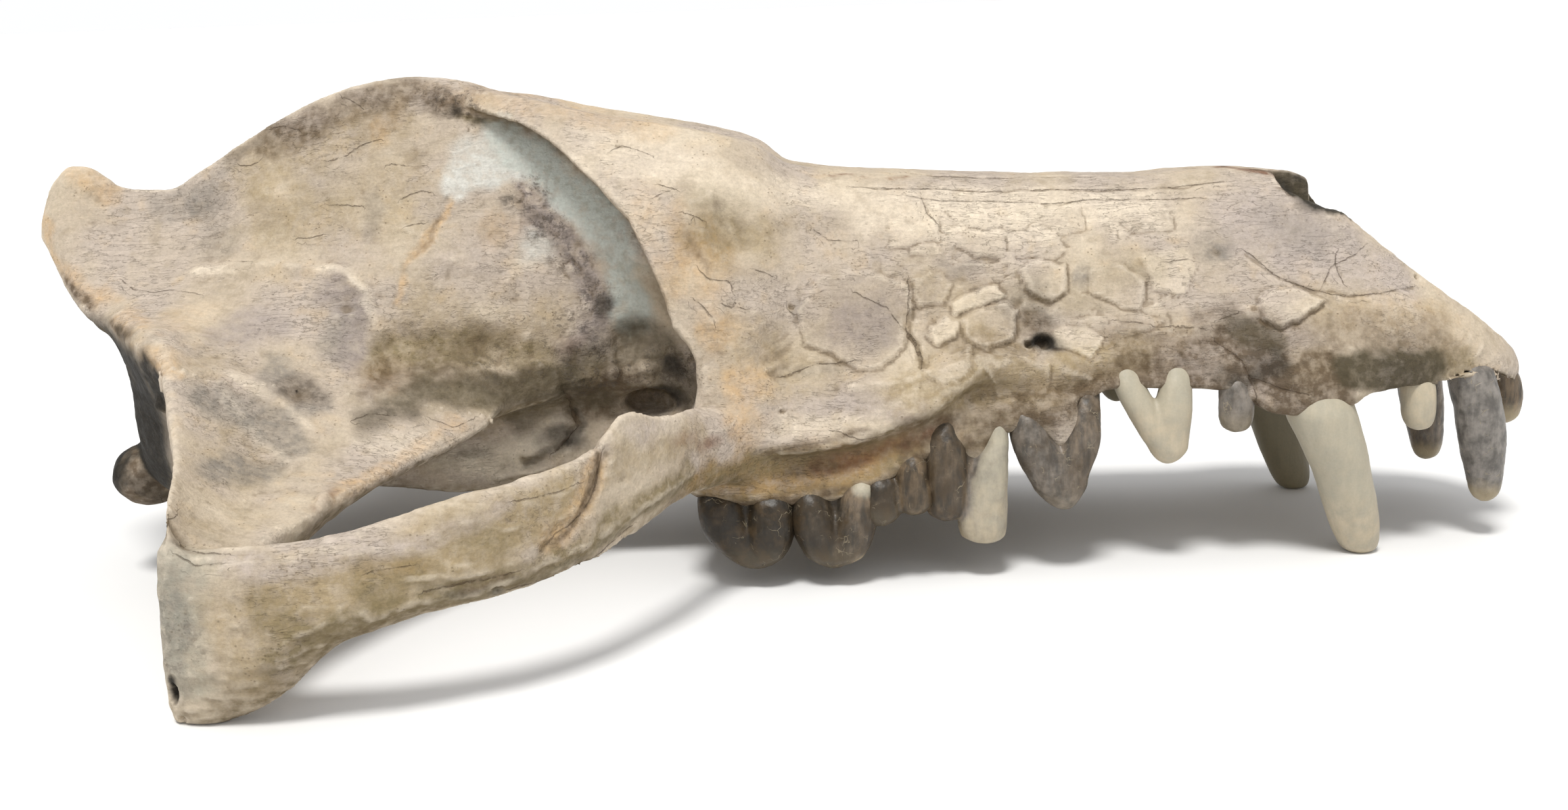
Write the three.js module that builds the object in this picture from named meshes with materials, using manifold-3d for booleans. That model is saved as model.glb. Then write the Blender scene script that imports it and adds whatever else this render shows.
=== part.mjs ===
// Life-size skull of a very large, long-snouted extinct hoofed predator, without its lower jaw,
// lying as it rests on a table: on the tips of both canines and on the two postglenoid ends of
// the cheek arches.
//
// Own frame while it is being shaped (mm): +X to the snout, -Y to the animal's right, +Z up.
// At the end the whole skull is pitched by REST_PITCH and lifted, so that z = 0 is the table and
// the origin is the bottom centre of its box.
//
// The braincase, the face and the two squamosal roots are lofts through named long lines of the
// skull (crest, temporal wall, ledge, facial crest, alveolar margin and so on). Each line gives its
// distance from the midplane (w) and its height (z) at a few stations, and is smooth in between.
import * as THREE from "three";
import { mergeVertices } from "three/addons/utils/BufferGeometryUtils.js";
import Module from "manifold-3d";

const wasm = await Module();
wasm.setup();

// ---------------------------------------------------------------- driving sizes (mm, degrees)
const REST_PITCH = 1.87; // nose-down pitch that brings the canines and the arch ends level
const REST_LIFT = 79.8; // height of the shaping frame's origin over the table
const REST_SHIFT = -1.2; // brings the middle of the box to x = 0

const TOOTH_SIDES = 6;
const CANINE_SIDES = 11;
const NOSTRIL_SIDES = 14;
const ARCH_SECTIONS = [-281, -266, -250, -229, -205, -183, -160, -138, -118, -100, -86, -72, -60, -46, -30, -10];
const ROOT_SECTIONS = [70, 95, 120, 140, 160, 180, 200, 220, 240, 254, 264, 272];
const GAP = 0.3; // clearance between neighbouring pieces
const FINE_LINES = 5; // upper long lines with an extra facet between them
const CASE_SECTIONS = [-432, -424, -412, -404, -394, -388, -382, -376, -369, -360, -346, -320, -296, -273, -250, -230, -210, -192, -175, -158, -140, -120, -98, -78, -60];
const FACE_SECTIONS = [-195, -168, -146, -128, -110, -94, -78, -62, -46, -30, -14, 4, 30, 60, 80, 95, 115, 146, 188, 220, 251, 272, 290, 305, 326, 346, 367, 390, 408, 420, 430];
const FACE_CUT = { x0: -62, slope: -0.3, z0: -35 }; // plane between face and braincase
const ARCH_CUT = [ // plan outline (x, w) that holds the free part of a cheek arch
  [-232, 236], [-120, 150], [-62, 115], [0, 151], [30, 168], [30, 330], [-232, 330],
];

// ---------------------------------------------------------------- smooth lines
// Monotone cubic through rows [x, v1, v2, ...]; outside the rows it holds the end value.
function line(rows) {
  const n = rows.length, m = rows[0].length - 1;
  const slope = Array.from({ length: n }, () => new Array(m).fill(0));
  for (let k = 1; k <= m; k++) {
    const d = [];
    for (let i = 0; i < n - 1; i++) d.push((rows[i + 1][k] - rows[i][k]) / (rows[i + 1][0] - rows[i][0]));
    for (let i = 0; i < n; i++) {
      if (i === 0) slope[i][k - 1] = d[0];
      else if (i === n - 1) slope[i][k - 1] = d[n - 2];
      else if (d[i - 1] * d[i] <= 0) slope[i][k - 1] = 0;
      else {
        const h0 = rows[i][0] - rows[i - 1][0], h1 = rows[i + 1][0] - rows[i][0];
        const a = 2 * h1 + h0, b = h1 + 2 * h0;
        slope[i][k - 1] = (a + b) / (a / d[i - 1] + b / d[i]);
      }
    }
  }
  return (x) => {
    if (x <= rows[0][0]) return rows[0].slice(1);
    if (x >= rows[n - 1][0]) return rows[n - 1].slice(1);
    let i = 0;
    while (x > rows[i + 1][0]) i++;
    const h = rows[i + 1][0] - rows[i][0], t = (x - rows[i][0]) / h;
    const a = 2 * t ** 3 - 3 * t ** 2 + 1, b = t ** 3 - 2 * t ** 2 + t;
    const c = -2 * t ** 3 + 3 * t ** 2, e = t ** 3 - t ** 2;
    const out = [];
    for (let k = 0; k < m; k++)
      out.push(a * rows[i][k + 1] + b * h * slope[i][k] + c * rows[i + 1][k + 1] + e * h * slope[i + 1][k]);
    return out;
  };
}

// ---------------------------------------------------------------- the skull's long lines
// Braincase and sagittal crest, from the nuchal hook forward: rows are [x, w, z].
const BRAINCASE = {
  crest_top: [[-432, 0, 112], [-424, 0, 131], [-412, 0, 141.5], [-404, 0, 141], [-394, 0, 135.5], [-380, 0, 129], [-358, 0, 128.5], [-338, 0, 139], [-308, 0, 158.5], [-277, 0, 175.5], [-245, 0, 187.5], [-215, 0, 192.5], [-185, 0, 190], [-150, 0, 177], [-109, 0, 160], [-60, 0, 145]],
  crest_flank: [[-432, 3, 111], [-412, 6, 137], [-404, 6.5, 136], [-380, 6, 122], [-358, 5, 121], [-338, 6, 131], [-277, 7, 164], [-215, 8, 182], [-185, 10, 180], [-150, 16, 165], [-109, 26, 148], [-60, 34, 120]],
  upper_wall: [[-432, 4, 108], [-424, 9, 117], [-412, 13, 118], [-394, 15, 110], [-380, 16, 107], [-338, 15, 112], [-300, 18, 130], [-260, 18, 146], [-215, 20, 156], [-180, 22, 152], [-150, 27, 142], [-120, 34, 126], [-100, 42, 112], [-80, 50, 100], [-60, 52, 88]],
  mid_wall: [[-432, 5, 105], [-424, 12, 104], [-412, 24, 99], [-394, 31, 92], [-380, 34, 89], [-328, 34, 92], [-300, 36, 98], [-260, 36, 112], [-215, 38, 118], [-180, 38, 113], [-150, 38, 106], [-120, 38, 96], [-100, 42, 84], [-80, 46, 74], [-60, 48, 66]],
  bulge: [[-432, 5, 104], [-424, 14, 99], [-412, 27, 89], [-394, 44, 78], [-380, 54, 72], [-360, 64, 70], [-328, 76, 67], [-300, 74, 62], [-260, 72, 66], [-215, 68, 68], [-180, 63, 62], [-150, 58, 56], [-120, 52, 52], [-100, 48, 50], [-80, 46, 46], [-60, 46, 42]],
  ledge: [[-432, 5, 102], [-424, 15, 96], [-412, 28, 80], [-404, 38, 73], [-394, 50, 67], [-380, 63, 62], [-360, 86, 60], [-328, 119, 54], [-300, 112, 30], [-260, 98, 18], [-215, 90, 10], [-180, 84, 12], [-150, 76, 18], [-120, 66, 26], [-100, 58, 30], [-80, 52, 28], [-60, 48, 22]],
  under_ledge: [[-432, 4, 101], [-424, 12, 94], [-412, 22, 78], [-404, 28, 71], [-394, 42, 64], [-388, 48, 60], [-382, 54, 56], [-376, 58, 53], [-369, 63, 47], [-360, 74, 36], [-346, 86, 24], [-328, 94, 12], [-300, 92, -2], [-260, 80, -8], [-215, 66, -2], [-180, 56, 2], [-150, 50, 8], [-120, 46, 12], [-100, 45, 14], [-80, 44, 12], [-60, 43, 8]],
  pterygoid_wall: [[-432, 3, 101], [-424, 8, 94], [-412, 14, 78], [-404, 18, 71], [-394, 26, 64], [-388, 30, 57], [-382, 28, 50], [-376, 38, 36], [-369, 52, 10], [-360, 68, -6], [-346, 78, -18], [-328, 84, -24], [-300, 80, -26], [-260, 62, -26], [-215, 50, -20], [-180, 47, -19], [-150, 46, -15], [-120, 46, -11], [-80, 46, -8], [-60, 45, -8]],
  base_edge: [[-432, 2, 101], [-424, 4, 94], [-412, 7, 78], [-404, 9, 73], [-394, 12, 66], [-388, 15, 56], [-382, 16, -2], [-376, 24, -15], [-369, 34, -25], [-360, 48, -33], [-328, 60, -40], [-300, 52, -40], [-260, 44, -36], [-215, 40, -40], [-190, 38, -43], [-150, 38, -38], [-120, 40, -32], [-80, 42, -24], [-60, 41, -22]],
  base_middle: [[-432, 0, 101], [-424, 0, 94], [-412, 0, 78], [-404, 0, 74], [-394, 0, 67], [-388, 0, 54], [-382, 0, -6], [-376, 0, -16], [-369, 0, -21], [-360, 0, -26], [-328, 0, -32], [-300, 0, -32], [-260, 0, -30], [-215, 0, -22], [-190, 0, -12], [-150, 0, -6], [-100, 0, 0], [-60, 0, 4]],
};
// Forehead, snout and palate, from the fork of the temporal lines to the premaxillae.
const FACE = {
  roof_middle: [[-195, 0, 186], [-150, 0, 178], [-109, 0, 169], [-46, 0, 160], [-17, 0, 153], [3, 0, 144], [30, 0, 140], [68, 0, 138.5], [188, 0, 137], [251, 0, 141], [290, 0, 139], [305, 0, 133], [326, 0, 112], [367, 0, 82], [410, 0, 51], [430, 0, 34]],
  roof_side: [[-195, 5, 184], [-150, 20, 182], [-109, 32, 173], [-46, 30, 163.5], [-17, 26, 156], [3, 20, 143], [68, 15, 138], [188, 15, 136.5], [251, 15, 140], [290, 16, 137], [305, 18, 132], [326, 22, 112], [367, 22, 82], [410, 14, 51], [430, 5, 34]],
  shoulder: [[-195, 8, 180], [-170, 24, 172], [-141, 42, 165], [-108, 60, 148], [-80, 64, 142], [-46, 56, 145], [-17, 48, 140], [3, 38, 133], [30, 35, 130], [68, 32, 128], [188, 30, 128], [251, 30, 131], [290, 32, 126], [305, 36, 122], [326, 38, 108], [367, 38, 79], [410, 30, 49], [430, 10, 33]],
  upper_side: [[-195, 9, 174], [-170, 26, 165], [-141, 44, 158], [-108, 66, 136], [-80, 78, 122], [-46, 76, 120], [-17, 66, 116], [3, 56, 112], [30, 52, 109], [68, 49, 108], [188, 45, 108], [251, 45, 110], [290, 48, 104], [326, 50, 92], [367, 48, 68], [410, 38, 44], [430, 14, 31]],
  mid_side: [[-195, 9, 168], [-170, 26, 156], [-141, 44, 148], [-108, 68, 122], [-80, 82, 104], [-46, 90, 92], [-17, 80, 88], [3, 70, 86], [30, 66, 84], [68, 62, 84], [125, 60, 84], [188, 57, 84], [251, 57, 86], [290, 62, 80], [326, 62, 72], [367, 56, 56], [410, 43, 39], [430, 17, 29]],
  lower_side: [[-195, 9, 160], [-141, 44, 140], [-108, 68, 112], [-80, 86, 84], [-46, 98, 62], [-17, 93, 58], [3, 80, 56], [30, 76, 54], [68, 77, 52], [95, 78, 54], [125, 72, 56], [188, 67, 60], [251, 67, 62], [290, 76, 56], [326, 74, 52], [367, 60, 44], [410, 45, 34], [430, 18, 27]],
  facial_crest: [[-195, 9, 150], [-141, 40, 130], [-108, 60, 100], [-80, 90, 60], [-46, 104, 36], [-17, 106, 10], [3, 104, 2], [35, 102, 7], [63, 100, 17], [82, 98, 26], [95, 94, 36], [110, 88, 44], [146, 81, 39], [188, 76, 48], [251, 77, 45], [290, 86, 36], [326, 80, 36], [367, 62, 34], [410, 45, 28], [430, 18, 23]],
  under_crest: [[-195, 9, 145], [-108, 60, 80], [-80, 90, 40], [-46, 102, 8], [-17, 100, -6], [3, 96, -8], [35, 93, -5], [63, 92, 3], [82, 90, 10], [95, 88, 18], [110, 85, 26], [146, 81, 24], [188, 76, 37], [251, 79, 32], [290, 88, 22], [326, 80, 26], [367, 62, 29], [410, 44, 22], [430, 17, 19]],
  alveolar_outer: [[-195, 8, 140], [-108, 50, 60], [-80, 80, 10], [-46, 98, -27], [-17, 101, -32], [3, 101, -32], [35, 100, -28], [74, 95, -10], [100, 92, 0], [132, 87, 8], [160, 82, 22], [188, 78, 28], [240, 78, 27], [270, 82, 14], [290, 84, 12], [310, 80, 18], [326, 74, 26], [352, 65, 26], [392, 56, 33], [410, 44, 28], [430, 16, 16]],
  alveolar_inner: [[-195, 6, 140], [-108, 40, 60], [-80, 60, 0], [-46, 72, -30], [3, 74, -31], [35, 73, -27], [74, 70, -8], [132, 62, 9], [188, 56, 28], [240, 56, 27], [290, 54, 16], [326, 50, 24], [352, 44, 25], [392, 36, 30], [410, 28, 26], [430, 8, 16]],
  palate_middle: [[-195, 0, 140], [-108, 0, 50], [-80, 0, 10], [-46, 0, -2], [3, 0, 2], [35, 0, 6], [74, 0, 14], [132, 0, 26], [188, 0, 40], [240, 0, 42], [290, 0, 40], [326, 0, 38], [352, 0, 36], [392, 0, 34], [410, 0, 30], [430, 0, 17]],
};
// Temporal line and orbital rim in side view: the face ends behind it. Rows are [-z, x].
const TEMPORAL_LINE = [[-215, -215], [-190, -200], [-177, -179], [-166, -141], [-142, -108], [-123, -87], [-100, -75], [-82, -66], [-66, -55], [-56, -44], [-46, -33], [-34, -31], [-24, -38], [-8, -50], [10, -56], [90, -62]];
const FACE_CORE = 13; // half width of the core that the face shares with the braincase

// Squamosal root: sections in side view at distances w from the midplane. Rows are [w, x, z].
const ROOT = {
  crest: [[70, -362, 62], [95, -346, 58], [120, -327, 54], [160, -311, 33], [200, -296, 18], [240, -286, 9], [262, -280, 2], [272, -277, -8]],
  saddle_back: [[70, -345, 63], [120, -304, 46], [160, -290, 25], [200, -281, 9], [240, -275, -1], [262, -272, -6], [272, -270, -14]],
  saddle: [[70, -270, 60], [120, -262, 33], [160, -262, 11], [200, -258, -2], [240, -257, -9], [262, -258, -12], [272, -260, -18]],
  ledge: [[70, -160, 30], [95, -165, 17], [120, -180, 10], [160, -205, 2], [200, -226, -6], [240, -241, -13], [262, -244, -17], [272, -248, -24]],
  front: [[70, -174, 14], [95, -180, 5], [120, -194, -4], [160, -218, -13], [200, -236, -23], [240, -246, -38], [262, -250, -50], [272, -254, -52]],
  fossa: [[70, -234, -14], [120, -238, -18], [160, -242, -26], [200, -247, -40], [240, -252, -58], [262, -252, -66], [272, -256, -66]],
  postglenoid: [[70, -275, -30], [120, -272, -44], [160, -270, -54], [200, -268, -68], [240, -268, -86], [262, -265, -90.5], [272, -263, -84]],
  heel: [[70, -330, -20], [120, -306, -22], [160, -294, -32], [200, -285, -50], [240, -281, -80], [262, -279, -90], [272, -274, -80]],
  back: [[70, -346, 14], [120, -318, 8], [160, -305, -4], [200, -291, -16], [240, -284, -30], [262, -281, -40], [272, -277, -44]],
};
// Free cheek arch, front root to back: sections across x. Rows are [x, w, z].
const ARCH = {
  top: [[-281, 268, -5], [-245, 270, -3], [-209, 268, 0], [-175, 263, 8], [-148, 255, 15.6], [-125, 242, 19], [-101, 220, 23], [-90, 206, 28], [-78, 186, 39], [-62, 158, 31], [-47, 124, 27], [-30, 108, 20], [-5, 90, 8]],
  out_high: [[-281, 272, -18], [-245, 278, -16], [-209, 276, -8], [-175, 270, 0], [-148, 262, 8], [-125, 249, 11], [-101, 228, 15], [-78, 194, 25], [-62, 168, 21], [-47, 138, 18], [-30, 118, 13], [-5, 98, 4]],
  out_low: [[-281, 272, -62], [-245, 281, -58], [-209, 280, -38], [-175, 274, -26], [-148, 265, -20], [-125, 252, -16], [-101, 231, -12], [-78, 198, -8], [-62, 173, -5], [-47, 142, -3], [-30, 120, -6], [-5, 98, -6]],
  bottom: [[-281, 262, -88], [-270, 264, -90.5], [-250, 266, -86], [-229, 268, -74], [-200, 266, -49], [-183, 264, -43], [-165, 260, -38], [-138, 250, -34], [-115, 236, -31], [-91, 212, -27], [-72, 178, -22], [-51, 140, -17], [-30, 110, -18], [-5, 92, -14]],
  in_low: [[-281, 254, -62], [-245, 256, -58], [-209, 258, -38], [-175, 253, -26], [-148, 245, -20], [-125, 231, -16], [-101, 208, -12], [-78, 174, -8], [-62, 142, -4], [-47, 110, -4], [-30, 88, -6], [-5, 75, -6]],
  in_high: [[-281, 258, -18], [-245, 258, -16], [-209, 259, -8], [-175, 254, 0], [-148, 246, 8], [-125, 232, 11], [-101, 209, 15], [-78, 174, 25], [-62, 143, 20], [-47, 108, 18], [-30, 88, 12], [-5, 75, 2]],
};

// Teeth of one side. Each lobe is a stack of ellipses: rows are [z, x, w, radius x, radius w].
const TEETH = {
  incisor_1: [[[34, 410, 18, 8, 8], [24, 417, 18, 11, 9], [12, 421, 18, 11, 9], [0, 422, 17, 9.5, 8], [-7, 423, 17, 4.5, 4]]],
  incisor_2: [[[42, 386, 32, 8, 6], [31, 389, 46, 13.5, 11], [4, 396, 49, 14, 11.5], [-23, 401, 48, 11.5, 10], [-38, 403, 47, 9, 8], [-46, 403.5, 47, 4.5, 4]]],
  incisor_3: [[[36, 353, 54, 8, 7], [24, 355, 60, 10, 9], [10, 356, 62, 9.3, 8.5], [2, 356.5, 62, 6.5, 6], [-0.5, 356.5, 62, 3, 3]]],
  premolar_1: [[[40, 249, 66, 7, 7], [26, 250, 74, 10, 8], [12, 250, 76, 9.8, 8.5], [5, 250.5, 75.5, 7.5, 6.5], [2, 250.5, 75.5, 3.5, 3.5]]],
  premolar_2: [
    [[42, 187, 66, 7, 7], [28, 191, 74, 9, 8], [12, 200, 77, 10, 8.5], [-2, 208, 78, 9, 8], [-9, 212, 77.5, 6, 6]],
    [[42, 217, 68, 7, 7], [28, 216, 75, 9, 8], [10, 214, 78, 11, 9], [-5, 213, 78, 11, 9], [-15.5, 213, 77.5, 4.5, 4]],
  ],
  premolar_3: [
    [[26, 131, 72, 8, 7], [8, 134, 82, 10.5, 9], [-10, 142, 85, 14, 10], [-26, 150, 85, 13, 10], [-39.5, 155, 84, 5, 4]],
    [[32, 168, 70, 6, 6], [14, 166, 80, 8.5, 8], [-4, 162, 84, 11.5, 9.5], [-24, 156, 84, 12, 10], [-39, 156, 84, 5, 4]],
  ],
  premolar_4: [
    [[18, 88, 76, 8, 8], [-2, 88, 88, 11, 9.5], [-22, 89, 91, 12, 10], [-38, 90, 91, 11, 9], [-44, 90, 91, 6, 6]],
    [[22, 117, 76, 5.5, 7], [2, 116.6, 85, 6.4, 8], [-10, 114, 88, 9, 9], [-22, 111.6, 89, 11.6, 10], [-44, 109.8, 89, 13.8, 11], [-53, 110.2, 89, 12.4, 10], [-57, 110.4, 89, 8, 7]],
  ],
  molar_1: [
    [[0, 70, 78, 9, 10], [-15, 70, 90, 10, 12], [-32, 71, 91, 11, 13], [-40.5, 71, 91, 6, 8]],
    [[-10, 53, 78, 9, 10], [-24, 53, 91, 11, 12], [-38, 53, 93, 11.5, 13], [-46.5, 53, 93, 6, 8]],
  ],
  molar_2: [
    [[-16, 40, 78, 10, 12], [-30, 40, 92, 11, 13], [-48, 38, 95, 12.5, 14], [-62, 34, 95, 11, 12], [-68, 31, 95, 6, 7]],
    [[-18, 14, 78, 10, 12], [-32, 15, 92, 11.5, 13], [-48, 18, 95, 13.5, 14], [-62, 23, 95, 12, 12], [-69, 26, 95, 7, 7]],
  ],
  molar_3: [
    [[-20, -8, 78, 11, 12], [-34, -7, 92, 13, 13], [-50, -8, 95, 14, 14], [-62, -11, 95, 12, 12], [-69.5, -14, 95, 7, 7]],
    [[-20, -36, 78, 10, 12], [-34, -35, 91, 12.5, 13], [-48, -31, 94, 14, 13], [-60, -24, 95, 12, 11], [-69, -18, 95, 7, 7]],
  ],
};
const CANINE = [[56, 287, 62, 13, 10], [36, 292, 68, 16.5, 12.5], [24, 294.5, 72.5, 18.6, 15], [12, 297.5, 76, 19.6, 16.8], [0, 302.7, 76, 18.6, 16.2], [-22, 312, 73, 16.2, 14.5], [-45, 320, 69.5, 14.8, 12.6], [-60, 324.6, 67.5, 12.6, 10.8], [-67, 326.4, 67, 9.8, 8.8], [-70.4, 327, 67, 6.2, 6]];
const SOCKET_GROWTH = GAP; // the socket is this much wider than the canine all round

// Cuts: rows of ellipses along a path. Orbit and nostril are named after what they open.
const ORBIT = { centre: [-62, 106, 44], radii: [31, 56, 17], tilt: 0 };
const NOSTRIL = [ // rows [x, z, half width, half height]
  [222, 98, 10, 12], [250, 98, 20, 20], [285, 98, 27, 27], [315, 92, 32, 32], [345, 84, 34, 30], [378, 69, 33, 24], [402, 56, 27, 17], [418, 49, 16, 13], [428, 46, 6, 8],
];
const NOSTRIL_LIFT = [[300, 0], [315, 24], [330, 34], [360, 34], [400, 26], [430, 16]]; // opens the roof in front
const FORAMEN_MAGNUM = { centre: [-392, 0, 8], radii: [30, 21, 19] };
const CONDYLE = { centre: [-369, 33, -33], radii: [21, 23, 18] };
const PAROCCIPITAL = [[0, -324, 86, 14, 12], [-25, -323, 88, 12, 11], [-44, -322, 89, 9, 8], [-55, -321, 89, 4, 4]];

// ---------------------------------------------------------------- solids
function closed(points, rings, ringSize) {
  // points: rings of equal size, then a first and a last centre point
  const index = [], a = rings * ringSize, b = a + 1;
  for (let r = 0; r < rings - 1; r++)
    for (let i = 0; i < ringSize; i++) {
      const j = (i + 1) % ringSize, p = r * ringSize, q = p + ringSize;
      index.push(p + i, q + i, q + j, p + i, q + j, p + j);
    }
  for (let i = 0; i < ringSize; i++) {
    const j = (i + 1) % ringSize, q = (rings - 1) * ringSize;
    index.push(a, i, j, b, q + j, q + i);
  }
  const g = new THREE.BufferGeometry();
  g.setAttribute("position", new THREE.Float32BufferAttribute(points.flatMap((p) => [p.x, p.y, p.z]), 3));
  g.setIndex(index);
  return g;
}
function solid(geometry) {
  const g = geometry.index ? geometry.clone() : geometry;
  g.deleteAttribute("normal");
  g.deleteAttribute("uv");
  const m = mergeVertices(g, 1e-4);
  const make = (tri) => new wasm.Manifold(new wasm.Mesh({ numProp: 3, vertProperties: m.attributes.position.array, triVerts: tri }));
  const tri = new Uint32Array(m.index.array);
  const first = make(tri);
  if (first.volume() > 0) return first;
  for (let i = 0; i < tri.length; i += 3) [tri[i + 1], tri[i + 2]] = [tri[i + 2], tri[i + 1]];
  return make(tri);
}
function loft(rings) {
  const centre = (ring) => ring.reduce((s, p) => s.clone().add(p), new THREE.Vector3()).multiplyScalar(1 / ring.length);
  return solid(closed([...rings.flat(), centre(rings[0]), centre(rings[rings.length - 1])], rings.length, rings[0].length));
}
// One section: the points it passes through, and one more between each two where `fine` says so.
function smoothRing(points, fine) {
  const curve = new THREE.CatmullRomCurve3(points, true, "catmullrom", 0.5), n = points.length, out = [];
  points.forEach((_, i) => {
    out.push(curve.getPoint(i / n));
    if (fine(i)) out.push(curve.getPoint((i + 0.5) / n));
  });
  return out;
}
// A symmetric body: the first and last lines lie on the midplane.
function midBody(lines, xs, fineLines) {
  const f = Object.values(lines).map(line);
  return loft(xs.map((x) => {
    const half = f.map((g) => g(x));
    const pts = half.map(([w, z]) => new THREE.Vector3(x, -w, z));
    for (let i = half.length - 2; i > 0; i--) pts.push(new THREE.Vector3(x, half[i][0], half[i][1]));
    return smoothRing(pts, (i) => i < fineLines || i >= pts.length - fineLines);
  }));
}
function stack(rows, sides, grow = 0) {
  return loft(rows.map(([z, x, w, rx, rw]) =>
    Array.from({ length: sides }, (_, i) => {
      const a = ((i + 0.5) / sides) * 2 * Math.PI;
      return new THREE.Vector3(x + (rx + grow) * Math.cos(a), -w + (rw + grow) * Math.sin(a), z);
    })));
}
function ellipsoid({ centre, radii, tilt = 0 }, a = 16, b = 10) {
  const g = new THREE.SphereGeometry(1, a, b);
  g.scale(...radii);
  g.rotateY(THREE.MathUtils.degToRad(tilt));
  g.translate(centre[0], -centre[1], centre[2]);
  return solid(g);
}
function plate(outline, from, to) { // outline in (x, w), standing from z = from to z = to
  const shape = new THREE.Shape(outline.map(([x, w]) => new THREE.Vector2(x, -w)));
  const g = new THREE.ExtrudeGeometry(shape, { depth: to - from, bevelEnabled: false });
  g.translate(0, 0, from);
  return solid(g);
}
function grown(outline, by) { // outline moved outwards by a distance
  const n = outline.length;
  let area = 0;
  outline.forEach(([x, y], i) => { const q = outline[(i + 1) % n]; area += x * q[1] - q[0] * y; });
  const side = Math.sign(area) * by;
  return outline.map((p, i) => {
    const a = outline[(i + n - 1) % n], b = outline[(i + 1) % n];
    const d1 = new THREE.Vector2(p[0] - a[0], p[1] - a[1]).normalize(), d2 = new THREE.Vector2(b[0] - p[0], b[1] - p[1]).normalize();
    const n1 = new THREE.Vector2(d1.y, -d1.x), n2 = new THREE.Vector2(d2.y, -d2.x);
    const m = n1.clone().add(n2), k = (2 * side) / m.lengthSq();
    return [p[0] + m.x * k, p[1] + m.y * k];
  });
}
const flipped = (s) => s.mirror([0, 1, 0]);
const both = (s) => s.add(flipped(s));
const slab = (outline) => { // outline in (x, z), right across the skull
  const shape = new THREE.Shape(outline.map(([x, z]) => new THREE.Vector2(x, z)));
  const g = new THREE.ExtrudeGeometry(shape, { depth: 800, bevelEnabled: false });
  g.rotateX(Math.PI / 2);
  g.translate(0, 400, 0);
  return solid(g);
};

// Braincase
const braincase = midBody(BRAINCASE, CASE_SECTIONS, FINE_LINES);

// Face, ended behind the temporal line except for its core
let face = midBody(FACE, FACE_SECTIONS, FINE_LINES);
const temporal = line(TEMPORAL_LINE);
const behind = [];
for (let z = 210; z >= -85; z -= 18) behind.push([temporal(-z)[0], z]);
behind.push([-330, -85], [-330, 210]);
const behindShape = new THREE.Shape(behind.map(([x, z]) => new THREE.Vector2(x, z)));
const behindGeometry = new THREE.ExtrudeGeometry(behindShape, { depth: 200, bevelEnabled: false });
behindGeometry.rotateX(Math.PI / 2);
behindGeometry.translate(0, -FACE_CORE, 0);
face = face.subtract(both(solid(behindGeometry)));

// Squamosal roots
const rootLines = Object.values(ROOT).map(line);
const root = loft(ROOT_SECTIONS.map((w) => smoothRing(rootLines.map((g) => { const [x, z] = g(w); return new THREE.Vector3(x, -w, z); }), () => false)));

// Cheek arches
const archLines = Object.values(ARCH).map(line);
const arch = loft(ARCH_SECTIONS.map((x) => smoothRing(archLines.map((g) => { const [w, z] = g(x); return new THREE.Vector3(x, -w, z); }), () => true)));

// Teeth
let teeth = null;
for (const lobes of Object.values(TEETH))
  for (const rows of lobes) {
    const s = stack(rows, TOOTH_SIDES);
    teeth = teeth ? teeth.add(s) : s;
  }
const canine = stack(CANINE, CANINE_SIDES);
const sockets = stack(CANINE.map((r) => [r[0] + (r === CANINE[0] ? GAP : 0), ...r.slice(1)]), CANINE_SIDES, SOCKET_GROWTH);

// Nostril: a bowl-shaped tube from the front, with its roof open before the nasal tips
const lift = line(NOSTRIL_LIFT);
const nostril = loft(NOSTRIL.map(([x, z, w, h]) =>
  Array.from({ length: NOSTRIL_SIDES }, (_, i) => {
    const a = (i / NOSTRIL_SIDES) * 2 * Math.PI, up = Math.sin(a) > 0 ? lift(x)[0] * Math.sin(a) : 0;
    return new THREE.Vector3(x, w * Math.cos(a), z + h * Math.sin(a) + up);
  })));

let whole = braincase.add(face).add(both(root)).add(both(arch)).add(both(teeth));
whole = whole.add(both(ellipsoid(CONDYLE, 12, 8))).add(both(stack(PAROCCIPITAL, 8)));
whole = whole.subtract(both(ellipsoid(ORBIT))).subtract(nostril).subtract(ellipsoid(FORAMEN_MAGNUM, 12, 8));
whole = whole.subtract(both(sockets));

// ---------------------------------------------------------------- parting into pieces
const planeX = (z) => FACE_CUT.x0 + FACE_CUT.slope * (z - FACE_CUT.z0);
const before = (shift) => slab([[planeX(-300) + shift, -300], [800, -300], [800, 400], [planeX(400) + shift, 400]]);
const after = (shift) => slab([[-800, -300], [planeX(-300) + shift, -300], [planeX(400) + shift, 400], [-800, 400]]);
const archRight = whole.intersect(plate(ARCH_CUT, -200, 200));
const rest = whole.subtract(both(plate(grown(ARCH_CUT, GAP), -200, 200)));
const facePiece = rest.intersect(before(GAP / 2));
const casePiece = rest.intersect(after(-GAP / 2));

// ---------------------------------------------------------------- scene graph
const BONE = { color: 0xb5a284, roughness: 0.82, metalness: 0 };
const ENAMEL = { color: 0xb3aa8c, roughness: 0.5, metalness: 0 };
const skull = new THREE.Group();
const pitched = new THREE.Group();
pitched.rotation.y = THREE.MathUtils.degToRad(REST_PITCH);
pitched.position.set(REST_SHIFT, 0, REST_LIFT);
skull.add(pitched);

// Everything under the table, brought into the shaping frame: it gives the feet small flats.
const tableCut = (() => {
  const g = new THREE.BoxGeometry(2000, 2000, 200);
  g.translate(0, 0, -100);
  const inv = new THREE.Matrix4().makeTranslation(REST_SHIFT, 0, REST_LIFT).multiply(new THREE.Matrix4().makeRotationY(THREE.MathUtils.degToRad(REST_PITCH))).invert();
  g.applyMatrix4(inv);
  return solid(g);
})();

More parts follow.
